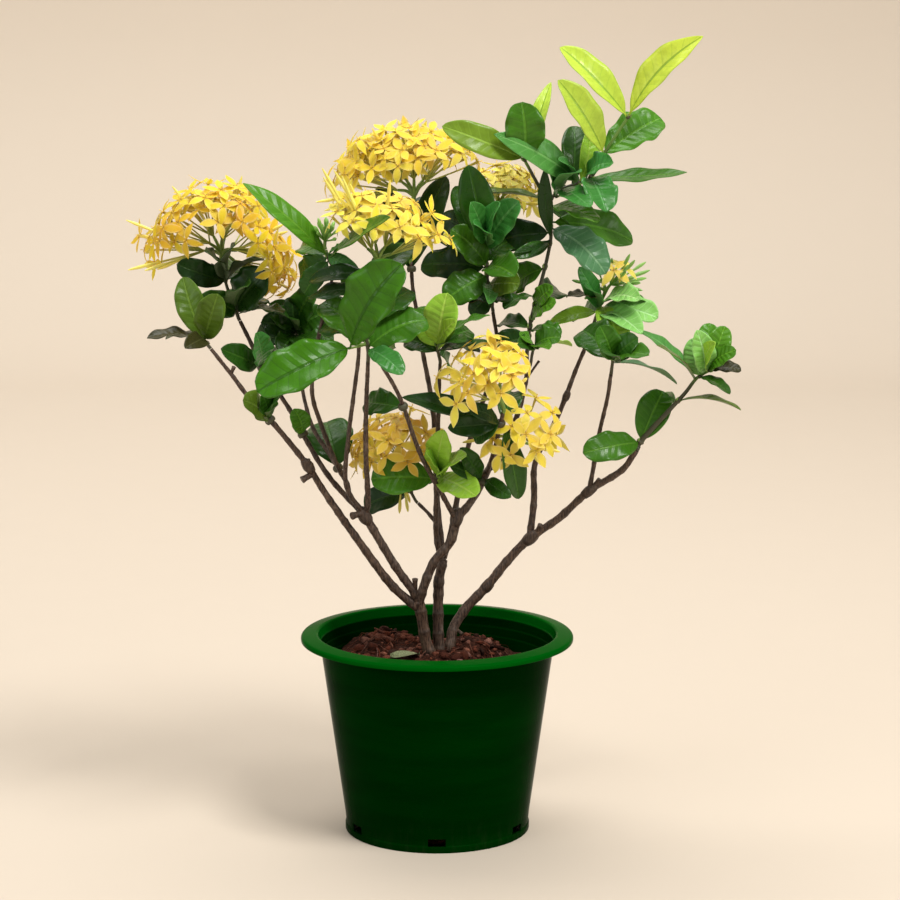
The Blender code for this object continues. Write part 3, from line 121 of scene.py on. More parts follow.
# Shoots: the woody branch that each grows from, its place on that branch (point, share of the way to the next)
# where it has no twig, and its green twig. A leaf's row holds the column, row and depth of its foot and of its tip,
# its width in mm, roll in degrees, arch in mm and tone. The last leaves of a shoot fill gaps between the others.
SHOOTS = {
    "left_shoot": Shoot("a_left", None, ((204, 340, -30),), (
        (203, 336, -30, 183, 277, -22, 21, 8, 5, "O"), (205, 334, -30, 218, 294, -48, 22, -12, 4, "O"),
        (201, 338, -30, 147, 338, -36, 17, -38, 4, "W"), (202, 339, -30, 166, 339, 12, 15, -30, 4, "K"),
        (202, 341, -30, 185, 348, -70, 15, 20, 5, "W"), (206, 337, -30, 214, 310, 14, 18, 10, 5, "D"),
    )),
    "left_head_leaves": Shoot("a_head_left", None, ((236, 311, 19), (228, 290, 21), (223, 272, 22)), (
        (236, 312, 19, 197, 301, -8, 20, 24, 5, "D"), (237, 310, 19, 267, 272, 2, 30, -10, 5, "K"),
        (239, 314, 19, 284, 313, 0, 19, 46, 4, "K"), (236, 311, 19, 222, 296, 66, 22, 10, 5, "D"),
        (226, 281, 22, 263, 260, 2, 18, 52, 4, "K"), (224, 282, 22, 177, 264, 2, 19, 34, 4, "K"),
        (225, 280, 22, 206, 252, -16, 20, 0, 4, "K"), (226, 281, 22, 240, 262, 64, 22, -10, 4, "D"),
        (240, 312, 19, 264, 298, 40, 24, 10, 4, "D"), (225, 280, 22, 234, 246, -24, 19, 0, 4, "K"),
        (236, 308, 19, 248, 286, -26, 20, 10, 4, "D"), (226, 281, 22, 200, 276, 40, 18, 10, 4, "K"),
    )),
    "left_pair": Shoot("a_head_left", (5, 0.0), (), (
        (258, 365, 10, 221, 349, -22, 19, 34, 4, "D"), (262, 361, 8, 256, 333, -16, 19, -6, 4, "T"),
        (266, 362, 14, 290, 352, 50, 20, 20, 4, "D"),
    )),
    "left_curled_leaf": Shoot("a_head_left", (2, 0.15), (), (
        (302, 434, 0, 294, 409, -14, 15, 0, 3, "B"),
    )),
    "left_low_leaf": Shoot("a_left", (7, 0.0), (), (
        (267, 418, -33, 243, 400, -60, 22, 10, 4, "O"), (272, 414, -32, 280, 396, -62, 19, -10, 3, "D"),
        (269, 416, -33, 262, 394, -50, 18, 0, 3, "D"),
    )),
    "dark_leaves": Shoot("a_dark", None, ((298, 350, 46), (296, 331, 48)), (
        (296, 333, 48, 261, 322, 34, 22, 20, 5, "K"), (296, 330, 48, 270, 303, 40, 20, 10, 5, "D"),
        (297, 330, 48, 292, 296, 40, 22, 0, 5, "K"), (298, 333, 48, 326, 312, 38, 24, -10, 5, "D"),
        (299, 336, 47, 334, 340, 38, 20, -18, 5, "D"), (298, 345, 46, 312, 330, 96, 24, -20, 5, "K"),
        (297, 335, 47, 280, 352, 20, 20, 10, 4, "D"), (298, 330, 48, 314, 288, 30, 23, 0, 4, "D"),
        (296, 332, 48, 256, 340, 60, 20, 20, 4, "K"), (298, 336, 47, 320, 350, 10, 22, 0, 4, "D"),
        (297, 331, 48, 276, 312, 10, 20, 0, 4, "D"),
    )),
    "bud_shoot": Shoot("a_bud", None, ((329, 260, -27), (326, 250, -26)), (
        (328, 257, -26, 243, 183, -38, 20, -8, 6, "B"), (329, 258, -26, 390, 217, -105, 22, 0, 3, "M"),
        (327, 254, -26, 361, 276, -44, 13, -40, 3, "S"), (327, 256, -26, 300, 248, 14, 18, 20, 5, "M"),
        (329, 257, -27, 300, 276, -2, 20, 30, 4, "D"), (330, 262, -27, 354, 290, -10, 17, 0, 4, "M"),
        (326, 262, -27, 304, 294, -20, 17, 10, 4, "D"), (328, 256, -26, 345, 246, -40, 8, 20, 2, "S"),
    )),
    "centre_leaves": Shoot("a_front_middle", None, (
        (368, 350, -63), (366, 335, -64), (366, 300, -60), (372, 268, -58)), (
        (352, 347, -66, 257, 392, -88, 35, 6, 7, "H"), (350, 348, -70, 402, 264, -98, 40, 0, 7, "H"),
        (371, 347, -62, 427, 320, -54, 34, 8, 5, "M"), (372, 349, -64, 403, 374, -86, 17, 0, 5, "T"),
        (361, 344, -60, 322, 303, -40, 28, 0, 5, "M"), (364, 290, -58, 308, 298, -44, 19, -14, 4, "K"),
        (368, 274, -58, 309, 281, -38, 17, -12, 4, "K"), (367, 292, -59, 412, 246, -20, 22, 0, 4, "D"),
        (370, 343, -60, 392, 330, 0, 24, -20, 5, "D"), (366, 320, -62, 410, 290, -30, 24, 0, 4, "D"),
        (366, 330, -62, 322, 322, -20, 26, 10, 4, "D"), (368, 345, -62, 384, 352, -20, 22, 0, 4, "M"),
    )),
    "lime_shoot": Shoot("b_shoot", None, ((438, 352, -26), (437, 345, -27)), (
        (436, 346, -27, 447, 293, -42, 25, 4, 6, "F"), (439, 346, -27, 490, 315, -30, 18, 46, 5, "M"),
        (436, 347, -27, 417, 319, -22, 14, 30, 3, "F"), (440, 350, -26, 466, 341, -62, 14, 20, 4, "D"),
        (439, 351, -26, 497, 346, 0, 17, 30, 4, "D"), (440, 353, -26, 447, 372, -2, 16, -10, 4, "S"),
        (438, 348, -26, 470, 330, 4, 20, 0, 4, "D"), (437, 352, -26, 405, 340, -10, 18, 10, 4, "D"),
        (440, 350, -26, 480, 352, -40, 16, 34, 4, "K"), (438, 350, -26, 456, 320, -50, 15, 0, 4, "F"),
        (437, 346, -27, 424, 306, 0, 18, 0, 4, "M"),
    )),
    "upper_shoot": Shoot("b_right", None, ((490, 296, 22), (487, 275, 21), (486, 258, 21), (486, 238, 21)), (
        (486, 245, 21, 471, 202, -4, 19, 6, 4, "T"), (486, 250, 21, 519, 201, 3, 24, -8, 4, "T"),
        (484, 266, 21, 451, 229, 8, 25, 8, 5, "M"), (484, 268, 21, 421, 265, 34, 26, 12, 5, "K"),
        (484, 276, 20, 445, 300, 4, 27, 6, 5, "M"), (489, 268, 21, 515, 276, -12, 25, -4, 5, "M"),
        (489, 286, 21, 520, 284, 2, 23, -10, 5, "O"), (487, 284, 21, 489, 304, -6, 12, 20, 3, "S"),
        (489, 305, 23, 458, 302, 10, 14, -38, 3, "W"), (486, 247, 21, 468, 165, 8, 26, 14, 6, "D"),
        (482, 243, 22, 441, 216, 30, 20, 24, 4, "K"), (485, 255, 22, 452, 248, 66, 22, 16, 5, "D"),
        (487, 243, 21, 500, 203, -12, 20, 0, 4, "T"), (486, 246, 21, 474, 224, -14, 17, 10, 4, "T"),
        (484, 250, 22, 455, 186, 36, 24, 0, 5, "D"), (484, 252, 22, 434, 232, 50, 20, 10, 4, "K"),
        (487, 292, 22, 470, 314, 8, 16, 30, 3, "K"), (488, 300, 22, 512, 300, 10, 14, 0, 3, "D"),
        (487, 262, 21, 512, 240, 40, 20, 0, 4, "D"),
    )),
    "tall_shoot": Shoot("a_tall", None, (
        (530, 325, 18), (536, 300, 20), (543, 275, 22), (548, 254, 24), (551, 235, 25), (550, 205, 26),
        (560, 190, 27), (590, 178, 25), (603, 155, 22), (628, 117, 18)), (
        (629, 116, 18, 703, 36, 2, 23, 6, 7, "L"), (627, 117, 18, 560, 47, 30, 23, -6, 7, "L"),
        (600, 152, 22, 558, 80, -2, 24, -4, 7, "L"), (604, 156, 22, 661, 118, 46, 31, 4, 5, "B"),
        (594, 179, 25, 687, 172, 6, 19, 20, -2, "M"), (592, 180, 25, 606, 212, -8, 26, 10, 6, "T"),
        (578, 182, 26, 494, 134, -14, 24, 16, 8, "S"), (572, 184, 26, 574, 126, 58, 20, 0, 6, "D"),
        (580, 182, 26, 590, 130, 34, 15, -30, 5, "F"), (558, 197, 26, 552, 167, 6, 14, 0, 3, "T"),
        (552, 206, 26, 598, 222, -4, 21, 20, 5, "B"), (552, 228, 25, 606, 274, 6, 29, 4, 7, "G"),
        (553, 222, 25, 633, 241, 52, 27, -10, 6, "M"), (549, 200, 26, 469, 195, 24, 19, -44, 4, "O"),
        (549, 233, 25, 491, 243, 46, 25, 18, 5, "K"), (549, 245, 24, 512, 257, 2, 11, 40, 4, "D"),
        (544, 268, 22, 512, 289, 44, 24, 10, 5, "M"), (538, 297, 20, 504, 309, 4, 15, -34, 4, "D"),
        (536, 306, 20, 553, 287, 2, 14, -20, 3, "B"), (530, 328, 18, 499, 324, 38, 17, -10, 4, "D"),
        (538, 300, 20, 560, 292, 70, 22, -10, 5, "D"), (549, 238, 20, 545, 168, 8, 11, 14, 2, "K"),
        (588, 184, 25, 613, 163, 4, 20, 0, 5, "T"), (575, 188, 26, 559, 160, -6, 15, 0, 4, "T"),
        (565, 194, 26, 590, 207, -22, 20, 0, 4, "T"), (560, 196, 26, 580, 172, -14, 17, 20, 4, "T"),
        (548, 240, 24, 515, 253, 0, 5, 20, 2, "K"), (547, 241, 24, 530, 256, 0, 5, 0, 2, "K"),
        (532, 320, 18, 556, 302, -2, 15, 0, 4, "B"), (534, 332, 15, 561, 336, 2, 16, 20, 4, "M"),
        (530, 338, 16, 494, 344, 14, 18, 30, 4, "K"), (556, 210, 26, 580, 236, 60, 24, 0, 4, "D"),
    )),
    "tall_shoot_side": Shoot(None, None, ((551, 206, 26), (541, 190, 18), (524, 159, 4)), (
        (524, 160, 4, 442, 126, -10, 22, 18, 8, "Y"), (525, 158, 4, 522, 102, -10, 29, 0, 6, "M"),
        (527, 161, 5, 551, 82, 22, 12, 10, 5, "L"),
    )),
    "side_shoot": Shoot("a_side", None, ((532, 355, -4), (534, 347, -5)), (
        (534, 347, -5, 561, 337, -16, 19, 0, 5, "M"), (535, 346, -5, 572, 346, 4, 15, 66, 3, "F"),
        (534, 349, -5, 549, 349, -34, 14, 10, 3, "B"), (533, 349, -5, 517, 344, -30, 13, 20, 3, "D"),
        (534, 348, -5, 520, 336, -24, 14, 0, 3, "B"),
    )),
    "front_head_leaves": Shoot("a_head_front", (2, 0.6), (), (
        (496, 424, -35, 448, 428, -50, 16, 30, 3, "K"), (505, 421, -31, 514, 392, -2, 18, 0, 3, "D"),
        (496, 421, -34, 402, 397, -33, 18, 2, 4, "K"), (497, 423, -38, 466, 409, -66, 14, 20, 3, "K"),
        (498, 424, -37, 474, 440, -30, 16, 10, 3, "D"), (502, 424, -32, 519, 499, -16, 19, 14, 4, "D"),
    )),
    "fork_leaves": Shoot("a_tall", (2, 0.3), (), (
        (492, 474, -9, 511, 497, -30, 13, -30, 3, "D"), (478, 474, -10, 450, 466, -26, 15, 10, 3, "D"),
        (479, 471, -9, 460, 448, -20, 15, 20, 3, "D"),
    )),
    "low_leaves": Shoot("b_shoot", (3, 0.05), (), (
        (440, 474, -16, 444, 430, -38, 21, 4, 4, "F"), (441, 476, -9, 476, 496, -40, 25, 0, 4, "F"),
        (433, 480, 5, 371, 479, -1, 29, 6, 5, "B"), (440, 476, -12, 466, 456, -44, 19, 0, 4, "F"),
        (438, 478, -10, 426, 452, -34, 15, 0, 4, "F"),
    )),
    "low_head_leaves": Shoot("b_low", None, ((410, 490, 25), (403, 475, 28)), (
        (411, 492, 25, 364, 507, 40, 23, 10, 4, "K"), (408, 487, 26, 430, 476, 72, 20, -10, 4, "D"),
    )),
    "round_leaf": Shoot("a_dark", (2, 0.5), (), (
        (341, 469, 26, 326, 422, 58, 36, 0, 5, "D"),
    )),
    "stem_leaf": Shoot("a_front_right", (2, 0.85), (), (
        (402, 408, -42, 366, 402, -12, 22, 14, 4, "D"),
    )),
    "right_shoot": Shoot("trunk_c", None, (
        (640, 442, 11), (676, 403, 4), (686, 392, 2), (697, 378, 0), (710, 370, -2)), (
        (636, 438, 11, 663, 391, 24, 25, -8, 5, "M"), (637, 442, 10, 583, 453, -12, 23, 12, 6, "M"),
        (678, 401, 4, 741, 410, -14, 18, 46, 5, "O"), (676, 402, 5, 655, 410, 50, 17, 10, 4, "M"),
        (700, 376, 0, 693, 338, -10, 16, 26, 4, "A"), (706, 372, -1, 709, 323, 4, 18, 0, 5, "B"),
        (710, 371, -2, 725, 326, -6, 18, -12, 5, "B"), (711, 371, -2, 741, 371, -14, 12, 10, 3, "W"),
        (695, 378, 0, 639, 330, 18, 16, -42, 4, "S"), (694, 380, 0, 657, 345, -34, 15, -36, 4, "O"),
        (700, 377, 0, 730, 394, -26, 12, 20, 3, "D"), (705, 374, -1, 712, 350, 44, 18, 0, 4, "B"),
        (704, 374, -1, 697, 330, -22, 18, 0, 5, "A"), (708, 373, -1, 715, 342, -30, 14, 0, 4, "F"),
        (710, 373, -1, 736, 350, -20, 15, 0, 4, "B"), (700, 377, 0, 690, 350, 20, 16, 0, 4, "M"),
    )),
    "right_low_shoot": Shoot("c_front", None, ((613, 359, -8),), (
        (612, 360, -8, 583, 330, 16, 29, 6, 5, "D"), (614, 360, -8, 649, 355, -32, 19, 6, 5, "M"),
        (614, 363, -8, 677, 384, 4, 17, 50, 5, "G"), (613, 361, -8, 602, 352, -46, 17, 10, 4, "D"),
        (613, 360, -8, 600, 326, -20, 19, 0, 4, "M"), (614, 361, -8, 638, 338, -20, 21, 0, 4, "D"),
    )),
    "top_head_leaves": Shoot("b_head_top", (8, 0.75), (), (
        (410, 272, 42, 446, 176, 66, 24, 20, 6, "K"), (410, 272, 42, 378, 186, 70, 24, -16, 6, "K"),
        (411, 268, 42, 424, 196, 84, 26, 0, 6, "D"),
    )),
    "right_high_shoot": Shoot("c_back", None, ((597, 314, 57), (602, 300, 56)), (
        (598, 309, 57, 579, 267, 36, 15, 8, 4, "T"), (600, 302, 56, 568, 296, 34, 14, -34, 3, "W"),
        (602, 304, 56, 647, 302, 40, 16, 46, 4, "M"), (599, 311, 57, 658, 318, 28, 24, 10, 5, "A"),
        (597, 312, 57, 546, 326, 36, 13, 0, 6, "F"), (599, 310, 57, 580, 318, 96, 20, 20, 5, "D"),
        (600, 306, 56, 622, 347, 20, 22, 0, 5, "F"), (601, 304, 56, 640, 300, 22, 20, 10, 5, "A"),
        (598, 312, 57, 642, 334, 12, 21, 0, 5, "A"), (599, 308, 57, 586, 288, 20, 15, 0, 4, "T"),
    )),
}

# Flower heads: what carries each, its middle, its radius in mm, one in how many of its florets is repeated behind,
# how many more fill the dome, its two petal colours and its florets as (column, row); then the florets that are
# never repeated behind, its closed buds, the size of its florets, whether its underside is bare and its buds green
HEADS = {
    "head_left": Head(
        "left_head_leaves", (221, 251, 24), 50, 3, 40, ((0.96, 0.66, 0.03), (0.84, 0.48, 0.015)), (
        (145, 250), (155, 263), (155, 228), (163, 212), (178, 222), (186, 240), (180, 200), (190, 190), (205, 198),
        (208, 184), (221, 190), (224, 206), (236, 187), (240, 204), (258, 206), (258, 243), (268, 258), (288, 248),
        (284, 268), (288, 288)),
        more=((140, 236), (272, 272), (296, 276), (276, 290)),
        spears=((126, 220, 12), (128, 270, 4), (172, 186, 20), (242, 176, 20), (284, 224, 8)),
        bare=True),
    "head_top": Head(
        "b_head_top", (414, 192, 44), 50, 2, 46, ((0.99, 0.78, 0.07), (0.95, 0.63, 0.03)), (
        (327, 182), (338, 170), (350, 160), (366, 152), (380, 140), (396, 132), (414, 138), (431, 132), (447, 143),
        (460, 153), (385, 158), (402, 150), (418, 158), (436, 150), (372, 168), (398, 166), (352, 176)),
        more=((470, 150), (478, 162), (410, 128), (424, 146), (350, 148), (334, 196)),
        spears=((316, 202, 30), (398, 120, 40), (372, 128, 26), (352, 142, 36)),
        bare=True),
    "head_centre": Head(
        "centre_leaves", (378, 258, -48), 42, 3, 22, ((0.99, 0.82, 0.08), (0.96, 0.69, 0.035)), (
        (333, 218), (345, 198), (356, 210), (366, 192), (376, 206), (392, 209), (408, 210), (400, 227), (420, 220),
        (436, 232), (450, 238)),
        more=((352, 222), (412, 228)),
        spears=((322, 168, -62), (334, 170, -62), (342, 176, -74), (390, 180, -66), (350, 184, -50)),
        bare=True),
    # head_small's near-white yellow petal colours are painted light, brightening a head that the leaf above it shades
    "head_small": Head(
        "upper_shoot", (500, 204, 58), 26, 3, 12, ((1.0, 0.86, 0.16), (0.97, 0.72, 0.08)), (
        (484, 172), (497, 165), (510, 172), (524, 181), (538, 191), (500, 181), (515, 192)),
        more=((492, 176), (530, 176), (508, 168)),
        spears=((472, 172, 20), (540, 204, 44)),
        size=1.05),
    "head_front": Head(
        "a_head_front", (500, 398, -43), 40, 6, 2, ((0.98, 0.76, 0.07), (0.93, 0.62, 0.04)), (
        (501, 342), (471, 350), (482, 363), (507, 361), (521, 355), (456, 358), (461, 381), (487, 383), (512, 375),
        (468, 393), (501, 393), (456, 404), (438, 377)),
        more=((490, 336), (474, 374), (498, 368)),
        spears=((527, 378, -44), (446, 366, -50)),
        size=1.14),
    "head_low": Head(
        "a_head_low", (518, 441, -7), 34, 5, 2, ((0.98, 0.77, 0.065), (0.92, 0.62, 0.035)), (
        (479, 419), (536, 398), (527, 413), (552, 413), (526, 434), (550, 434), (537, 451), (511, 455)),
        more=((512, 426), (500, 454), (545, 441)),
        spears=((560, 452, -10), (545, 464, -8), (458, 434, -8)),
        size=1.08),
    "head_behind": Head(
        "low_head_leaves", (400, 464, 24), 36, 5, 9, ((0.92, 0.6, 0.05), (0.8, 0.46, 0.03)), (
        (378, 419), (395, 428), (374, 448), (400, 444), (356, 438), (358, 456), (386, 456), (418, 450), (426, 433),
        (411, 408)),
        more=((366, 432), (410, 428), (388, 440), (372, 462), (408, 462)),
        spears=((408, 512, 14),),
        size=1.1),
    "head_right": Head(
        "right_high_shoot", (606, 290, 54), 22, 3, 0, ((0.96, 0.78, 0.13), (0.9, 0.68, 0.08)), (
        (624, 268), (614, 270)),
        spears=(
        (572, 280, 48), (596, 266, 60), (646, 262, 62), (612, 258, 50), (630, 254, 44), (640, 282, 40),
        (584, 268, 52), (626, 270, 30), (650, 270, 56)),
        green=True),
}
BUD_TIPS = ((314, 226, -34), (318, 218, -30), (322, 224, -38), (326, 217, -24), (330, 223, -34),
            (334, 226, -28), (339, 230, -32), (310, 230, -26), (320, 222, -10))
BUD_FOOT = (325, 241, -25)
# A shoot that has no solid of its own, so that none is hidden for it, with the shoot that it goes with
ADDED = {"top_head_leaves": "centre_leaves"}

# Leaf tones: blade colour, vein colour, and how much the veins show
TONES = {
    "L": ((0.47, 0.6, 0.058), (0.18, 0.33, 0.03), 0.42),
    "F": ((0.26, 0.5, 0.035), (0.42, 0.64, 0.1), 0.6),
    "B": ((0.056, 0.19, 0.008), (0.13, 0.34, 0.025), 0.9),
    # H: its dark midrib and side veins are painted shade in their grooves
    "H": ((0.044, 0.158, 0.002), (0.021, 0.082, 0.002), 1.0),
    # A: its pale mint blade and near-white veins are partly painted highlights on waxy, crinkled blades
    "A": ((0.2, 0.48, 0.085), (0.46, 0.74, 0.3), 1.0),
    "M": ((0.037, 0.13, 0.006), (0.085, 0.23, 0.018), 0.36),
    # D and K: partly the leaves' own deep green, partly painted shade on leaves low on the left and deep inside the
    # bush
    "D": ((0.02, 0.078, 0.005), (0.05, 0.145, 0.015), 0.28),
    "K": ((0.011, 0.042, 0.005), (0.028, 0.075, 0.012), 0.15),
    # T: its bluish teal cast is partly a painted sheen on glossy blades
    "T": ((0.035, 0.185, 0.028), (0.11, 0.33, 0.08), 0.5),
    "S": ((0.055, 0.21, 0.035), (0.15, 0.35, 0.09), 0.55),
    "G": ((0.055, 0.15, 0.055), (0.16, 0.31, 0.15), 0.7),
    "O": ((0.06, 0.115, 0.008), (0.12, 0.2, 0.02), 0.4),
    "W": ((0.03, 0.03, 0.008), (0.07, 0.07, 0.02), 0.2),
    "Y": ((0.15, 0.27, 0.02), (0.27, 0.42, 0.05), 0.4),
}
TWIG_TINT = (0.060, 0.058, 0.026)
TWIG_TIP = (0.11, 0.21, 0.03)
STALK_TINT = (0.20, 0.33, 0.06)
PLAIN = (0.0, 0.0, 0.0)
# Heights in m: where the lip's painted highlight fades in, and where dust on the foot ends
LIP_HIGHLIGHT_FADE = (0.1425, 0.1440)
DUST_TOP = 0.03


# Shader maths


def feed(tree, socket, value):
    """Link a wire to the socket, or set the socket to a constant."""
    if isinstance(value, Wire):
        tree.links.new(value.socket, socket)
    else:
        socket.default_value = value


class Wire:
    """A shader value that takes part in arithmetic: each operator adds the Math node that it stands for."""

    def __init__(self, tree, socket):
        self.tree = tree
        self.socket = socket

    def math(self, operation, *others):
        node = self.tree.nodes.new("ShaderNodeMath")
        node.operation = operation
        for slot, value in enumerate((self, *others)):
            feed(self.tree, node.inputs[slot], value)
        return Wire(self.tree, node.outputs[0])

    def __add__(self, other):
        return self.math("ADD", other)

    def __sub__(self, other):
        return self.math("SUBTRACT", other)

    def __mul__(self, other):
        return self.math("MULTIPLY", other)

    def __rsub__(self, other):
        return (self * -1.0) + other

    def __abs__(self):
        return self.math("ABSOLUTE")

    def clamped(self):
        held = self.math("ADD", 0.0)
        held.socket.node.use_clamp = True
        return held

    def between(self, low, high):
        """0 at low, 1 at high, eased."""
        node = self.tree.nodes.new("ShaderNodeMapRange")
        node.interpolation_type = "SMOOTHSTEP"
        for label, value in (("Value", self), ("From Min", low), ("From Max", high)):
            feed(self.tree, node.inputs[label], value)
        return Wire(self.tree, node.outputs["Result"])


class Finish:
    """A material on the Principled shader, with one method for each kind of node it is built from."""

    def __init__(self, name, **constants):
        self.material = bpy.data.materials.new(name)
        self.material.use_nodes = True
        self.tree = self.material.node_tree
        self.shader = self.tree.nodes["Principled BSDF"]
        for label, value in constants.items():
            self.shader.inputs[label.replace("_", " ")].default_value = value

    def node(self, kind, values, output=0, **settings):
        node = self.tree.nodes.new("ShaderNode" + kind)
        for label, value in settings.items():
            setattr(node, label, value)
        for label, value in values.items():
            feed(self.tree, node.inputs[label], value)
        return Wire(self.tree, node.outputs[output])

    def place(self):
        return self.node("TexCoord", {}, "Object")

    def stretched(self, scale):
        return self.node("Mapping", {"Vector": self.place(), "Scale": scale})

    def split(self, vector):
        """The three parts of a vector."""
        first = self.node("SeparateXYZ", {0: vector})
        return [Wire(self.tree, socket) for socket in first.socket.node.outputs]

    def map(self):
        return self.split(self.node("UVMap", {}, uv_map="UVMap"))[:2]

    def attribute(self, name, output="Color"):
        return self.node("Attribute", {}, output, attribute_type="GEOMETRY", attribute_name=name)

    def tints(self):
        """The two colours that each copy of a pattern brings."""
        return self.attribute("tint"), self.attribute("vein")

    def noise(self, scale, detail=3.0, roughness=0.5, vector=None):
        return self.node("TexNoise", {"Vector": vector or self.place(), "Scale": scale, "Detail": detail,
                                      "Roughness": roughness})

    def mix(self, factor, first, second, blend="MIX"):
        first, second = (colour if isinstance(colour, Wire) else (*colour, 1.0) for colour in (first, second))
        return self.node("Mix", {0: factor, 6: first, 7: second}, 2, data_type="RGBA", blend_type=blend)

    def dimmed(self, colour, shade):
        return self.mix(1.0, colour, shade, "MULTIPLY")

    def bump(self, height, strength, distance):
        return self.node("Bump", {"Height": height, "Strength": strength, "Distance": distance})

    def blade(self, settings):
        """How far each place of a blade is from its midrib, and how near to a side vein."""
        u, v = self.map()
        across = abs(u * 2.0 - 1.0)
        run = v * settings.vein_pairs - across * 1.3 + across * across * 0.35
        return across, abs(run.math("FRACT") - 0.5) * 2.0

    def done(self, colour, roughness, normal=None):
        for label, wire in (("Base Color", colour), ("Roughness", roughness), ("Normal", normal)):
            if wire is not None:
                feed(self.tree, self.shader.inputs[label], wire)
        return self.material


def leaf_top_finish(settings):
    """A waxy blade: its own tint, paler or darker veins, mottling, and quilting between the veins."""
    finish = Finish("ixora_leaf_top", Specular_IOR_Level=0.22)
    across, ridge = finish.blade(settings)
    tint, vein = finish.tints()
    mood = finish.attribute("tint", "Alpha")
    lateral = ridge.between(0.84, 1.0) * (1.0 - across.between(0.7, 1.0)) * (mood + 0.15)
    midrib = 1.0 - across.between(0.035, 0.10)
    mottle = finish.noise(260.0, 4.0, 0.6)
    broad = finish.noise(70.0, 2.0)
    colour = finish.mix(mottle.between(0.35, 0.75) * 0.35, tint, finish.dimmed(tint, (0.55, 0.55, 0.5)))
    colour = finish.mix((broad + mood * 0.4).between(0.45, 0.95) * 0.3, colour, finish.mix(0.5, tint, vein))
    colour = finish.mix((lateral * settings.vein_strength).clamped(), colour, vein)
    colour = finish.mix((midrib * 0.75).clamped(), colour, vein)
    colour = finish.mix(across.between(0.90, 1.0) * 0.3, colour, vein)
    rough = mottle * 0.22 + (settings.roughness - 0.1) + lateral * 0.1
    quilt = (1.0 - ridge) * (1.0 - across * 0.6) * (mood + 0.1) + mottle * 0.3 - midrib * 0.8
    return finish.done(colour, rough, finish.bump(quilt, 0.6, 0.0009))


def leaf_under_finish(settings):
    """The blade's paler, duller underside, with its midrib and veins standing out."""
    finish = Finish("ixora_leaf_under")
    across, ridge = finish.blade(settings)
    tint, vein = finish.tints()
    lateral = ridge.between(0.82, 1.0)
    midrib = 1.0 - across.between(0.05, 0.13)
    grain = finish.noise(420.0, 3.0)
    colour = finish.mix(0.35, tint, finish.mix(0.5, vein, (0.35, 0.42, 0.22)))
    colour = finish.mix((lateral * 0.35 + midrib * 0.6).clamped(), colour, vein)
    colour = finish.mix(grain * 0.25, colour, finish.dimmed(colour, (0.6, 0.6, 0.55)))
    normal = finish.bump(lateral + midrib * 1.6 + grain * 0.3, 0.4, 0.0006)
    return finish.done(colour, grain * 0.15 + 0.5, normal)


def twig_finish():
    """Green young stems, stalks and leaf stalks, faintly ribbed."""
    finish = Finish("ixora_green_stem")
    tint, tip = finish.tints()
    streak = finish.noise(900.0, 3.0, 0.6)
    ribs = (finish.map()[0] * 31.0).math("SINE")
    colour = finish.mix(streak.between(0.35, 0.7) * 0.5, tint, finish.dimmed(tint, (0.5, 0.42, 0.35)))
    colour = finish.mix(finish.attribute("tint", "Alpha").between(0.72, 0.95), colour, tip)
    return finish.done(colour, streak * 0.2 + 0.42, finish.bump(ribs * 0.5 + streak, 0.4, 0.0003))


def petal_finish(settings):
    """Soft petals: deeper at the throat, paler at the edges, with fine long streaks."""
    finish = Finish("ixora_petal", Specular_IOR_Level=0.25, Subsurface_Weight=0.4, Subsurface_Scale=0.006,
                    Subsurface_Radius=(1.0, 0.7, 0.2))
    u, v = finish.map()
    tint, deep = finish.tints()
    across = abs((u * 2.0).math("FRACT") * 2.0 - 1.0)
    streak = finish.noise(1400.0, 2.0)
    colour = finish.mix((1.0 - v.between(0.0, 0.3)) * 0.35, tint, deep)
    colour = finish.mix(across.between(0.55, 1.0) * settings.pale_edges, colour, (0.98, 0.88, 0.30))
    colour = finish.mix(streak * 0.3, colour, deep)
    return finish.done(colour, streak * 0.2 + 0.42, finish.bump(streak - across * 0.6, 0.35, 0.0004))


def tube_finish():
    """Slim floret tubes and closed buds: pale green at the foot, yellow towards the tip."""
    finish = Finish("ixora_tube")
    tint, deep = finish.tints()
    colour = finish.mix(finish.map()[1].between(0.05, 0.85), deep, tint)
    grain = finish.noise(1200.0, 2.0)
    colour = finish.mix(grain * 0.25, colour, deep)
    return finish.done(colour, grain * 0.2 + 0.4, finish.bump(grain, 0.25, 0.0003))


def bark_finish(settings):
    """Rough grey-brown bark: long cracks, darker scar rings and paler patches; the dark cracks and lighter ridges are
    partly painted shade and painted light.
    """
    finish = Finish("ixora_bark", Specular_IOR_Level=0.3)
    ring = finish.attribute("tint", "Alpha")
    fibre = finish.noise(1.0, 5.0, 0.65, finish.stretched((900.0, 900.0, 140.0)))
    patch = finish.noise(95.0, 4.0, 0.6)
    fine = finish.noise(1500.0, 3.0, 0.7)
    # Partly painted shade and painted light: the fibre pattern's sunken cracks take the dark colour, its raised ridges
    # the light one
    colour = finish.mix(fibre.between(0.34, 0.66), tuple(settings.bark_dark), tuple(settings.bark_light))
    colour = finish.mix(patch.between(0.54, 0.74) * 0.5, colour, (0.24, 0.19, 0.155))
    colour = finish.mix(fine.between(0.55, 0.8) * 0.5, colour, (0.030, 0.020, 0.014))
    colour = finish.mix(0.55, colour, finish.dimmed(colour, finish.attribute("tint")))
    colour = finish.mix(ring * 0.6, colour, (0.05, 0.034, 0.024))
    height = fibre + fine * 0.35 + patch * 0.5 + ring * 0.8
    return finish.done(colour, fine * 0.2 + 0.34, finish.bump(height, 0.65, 0.0006))


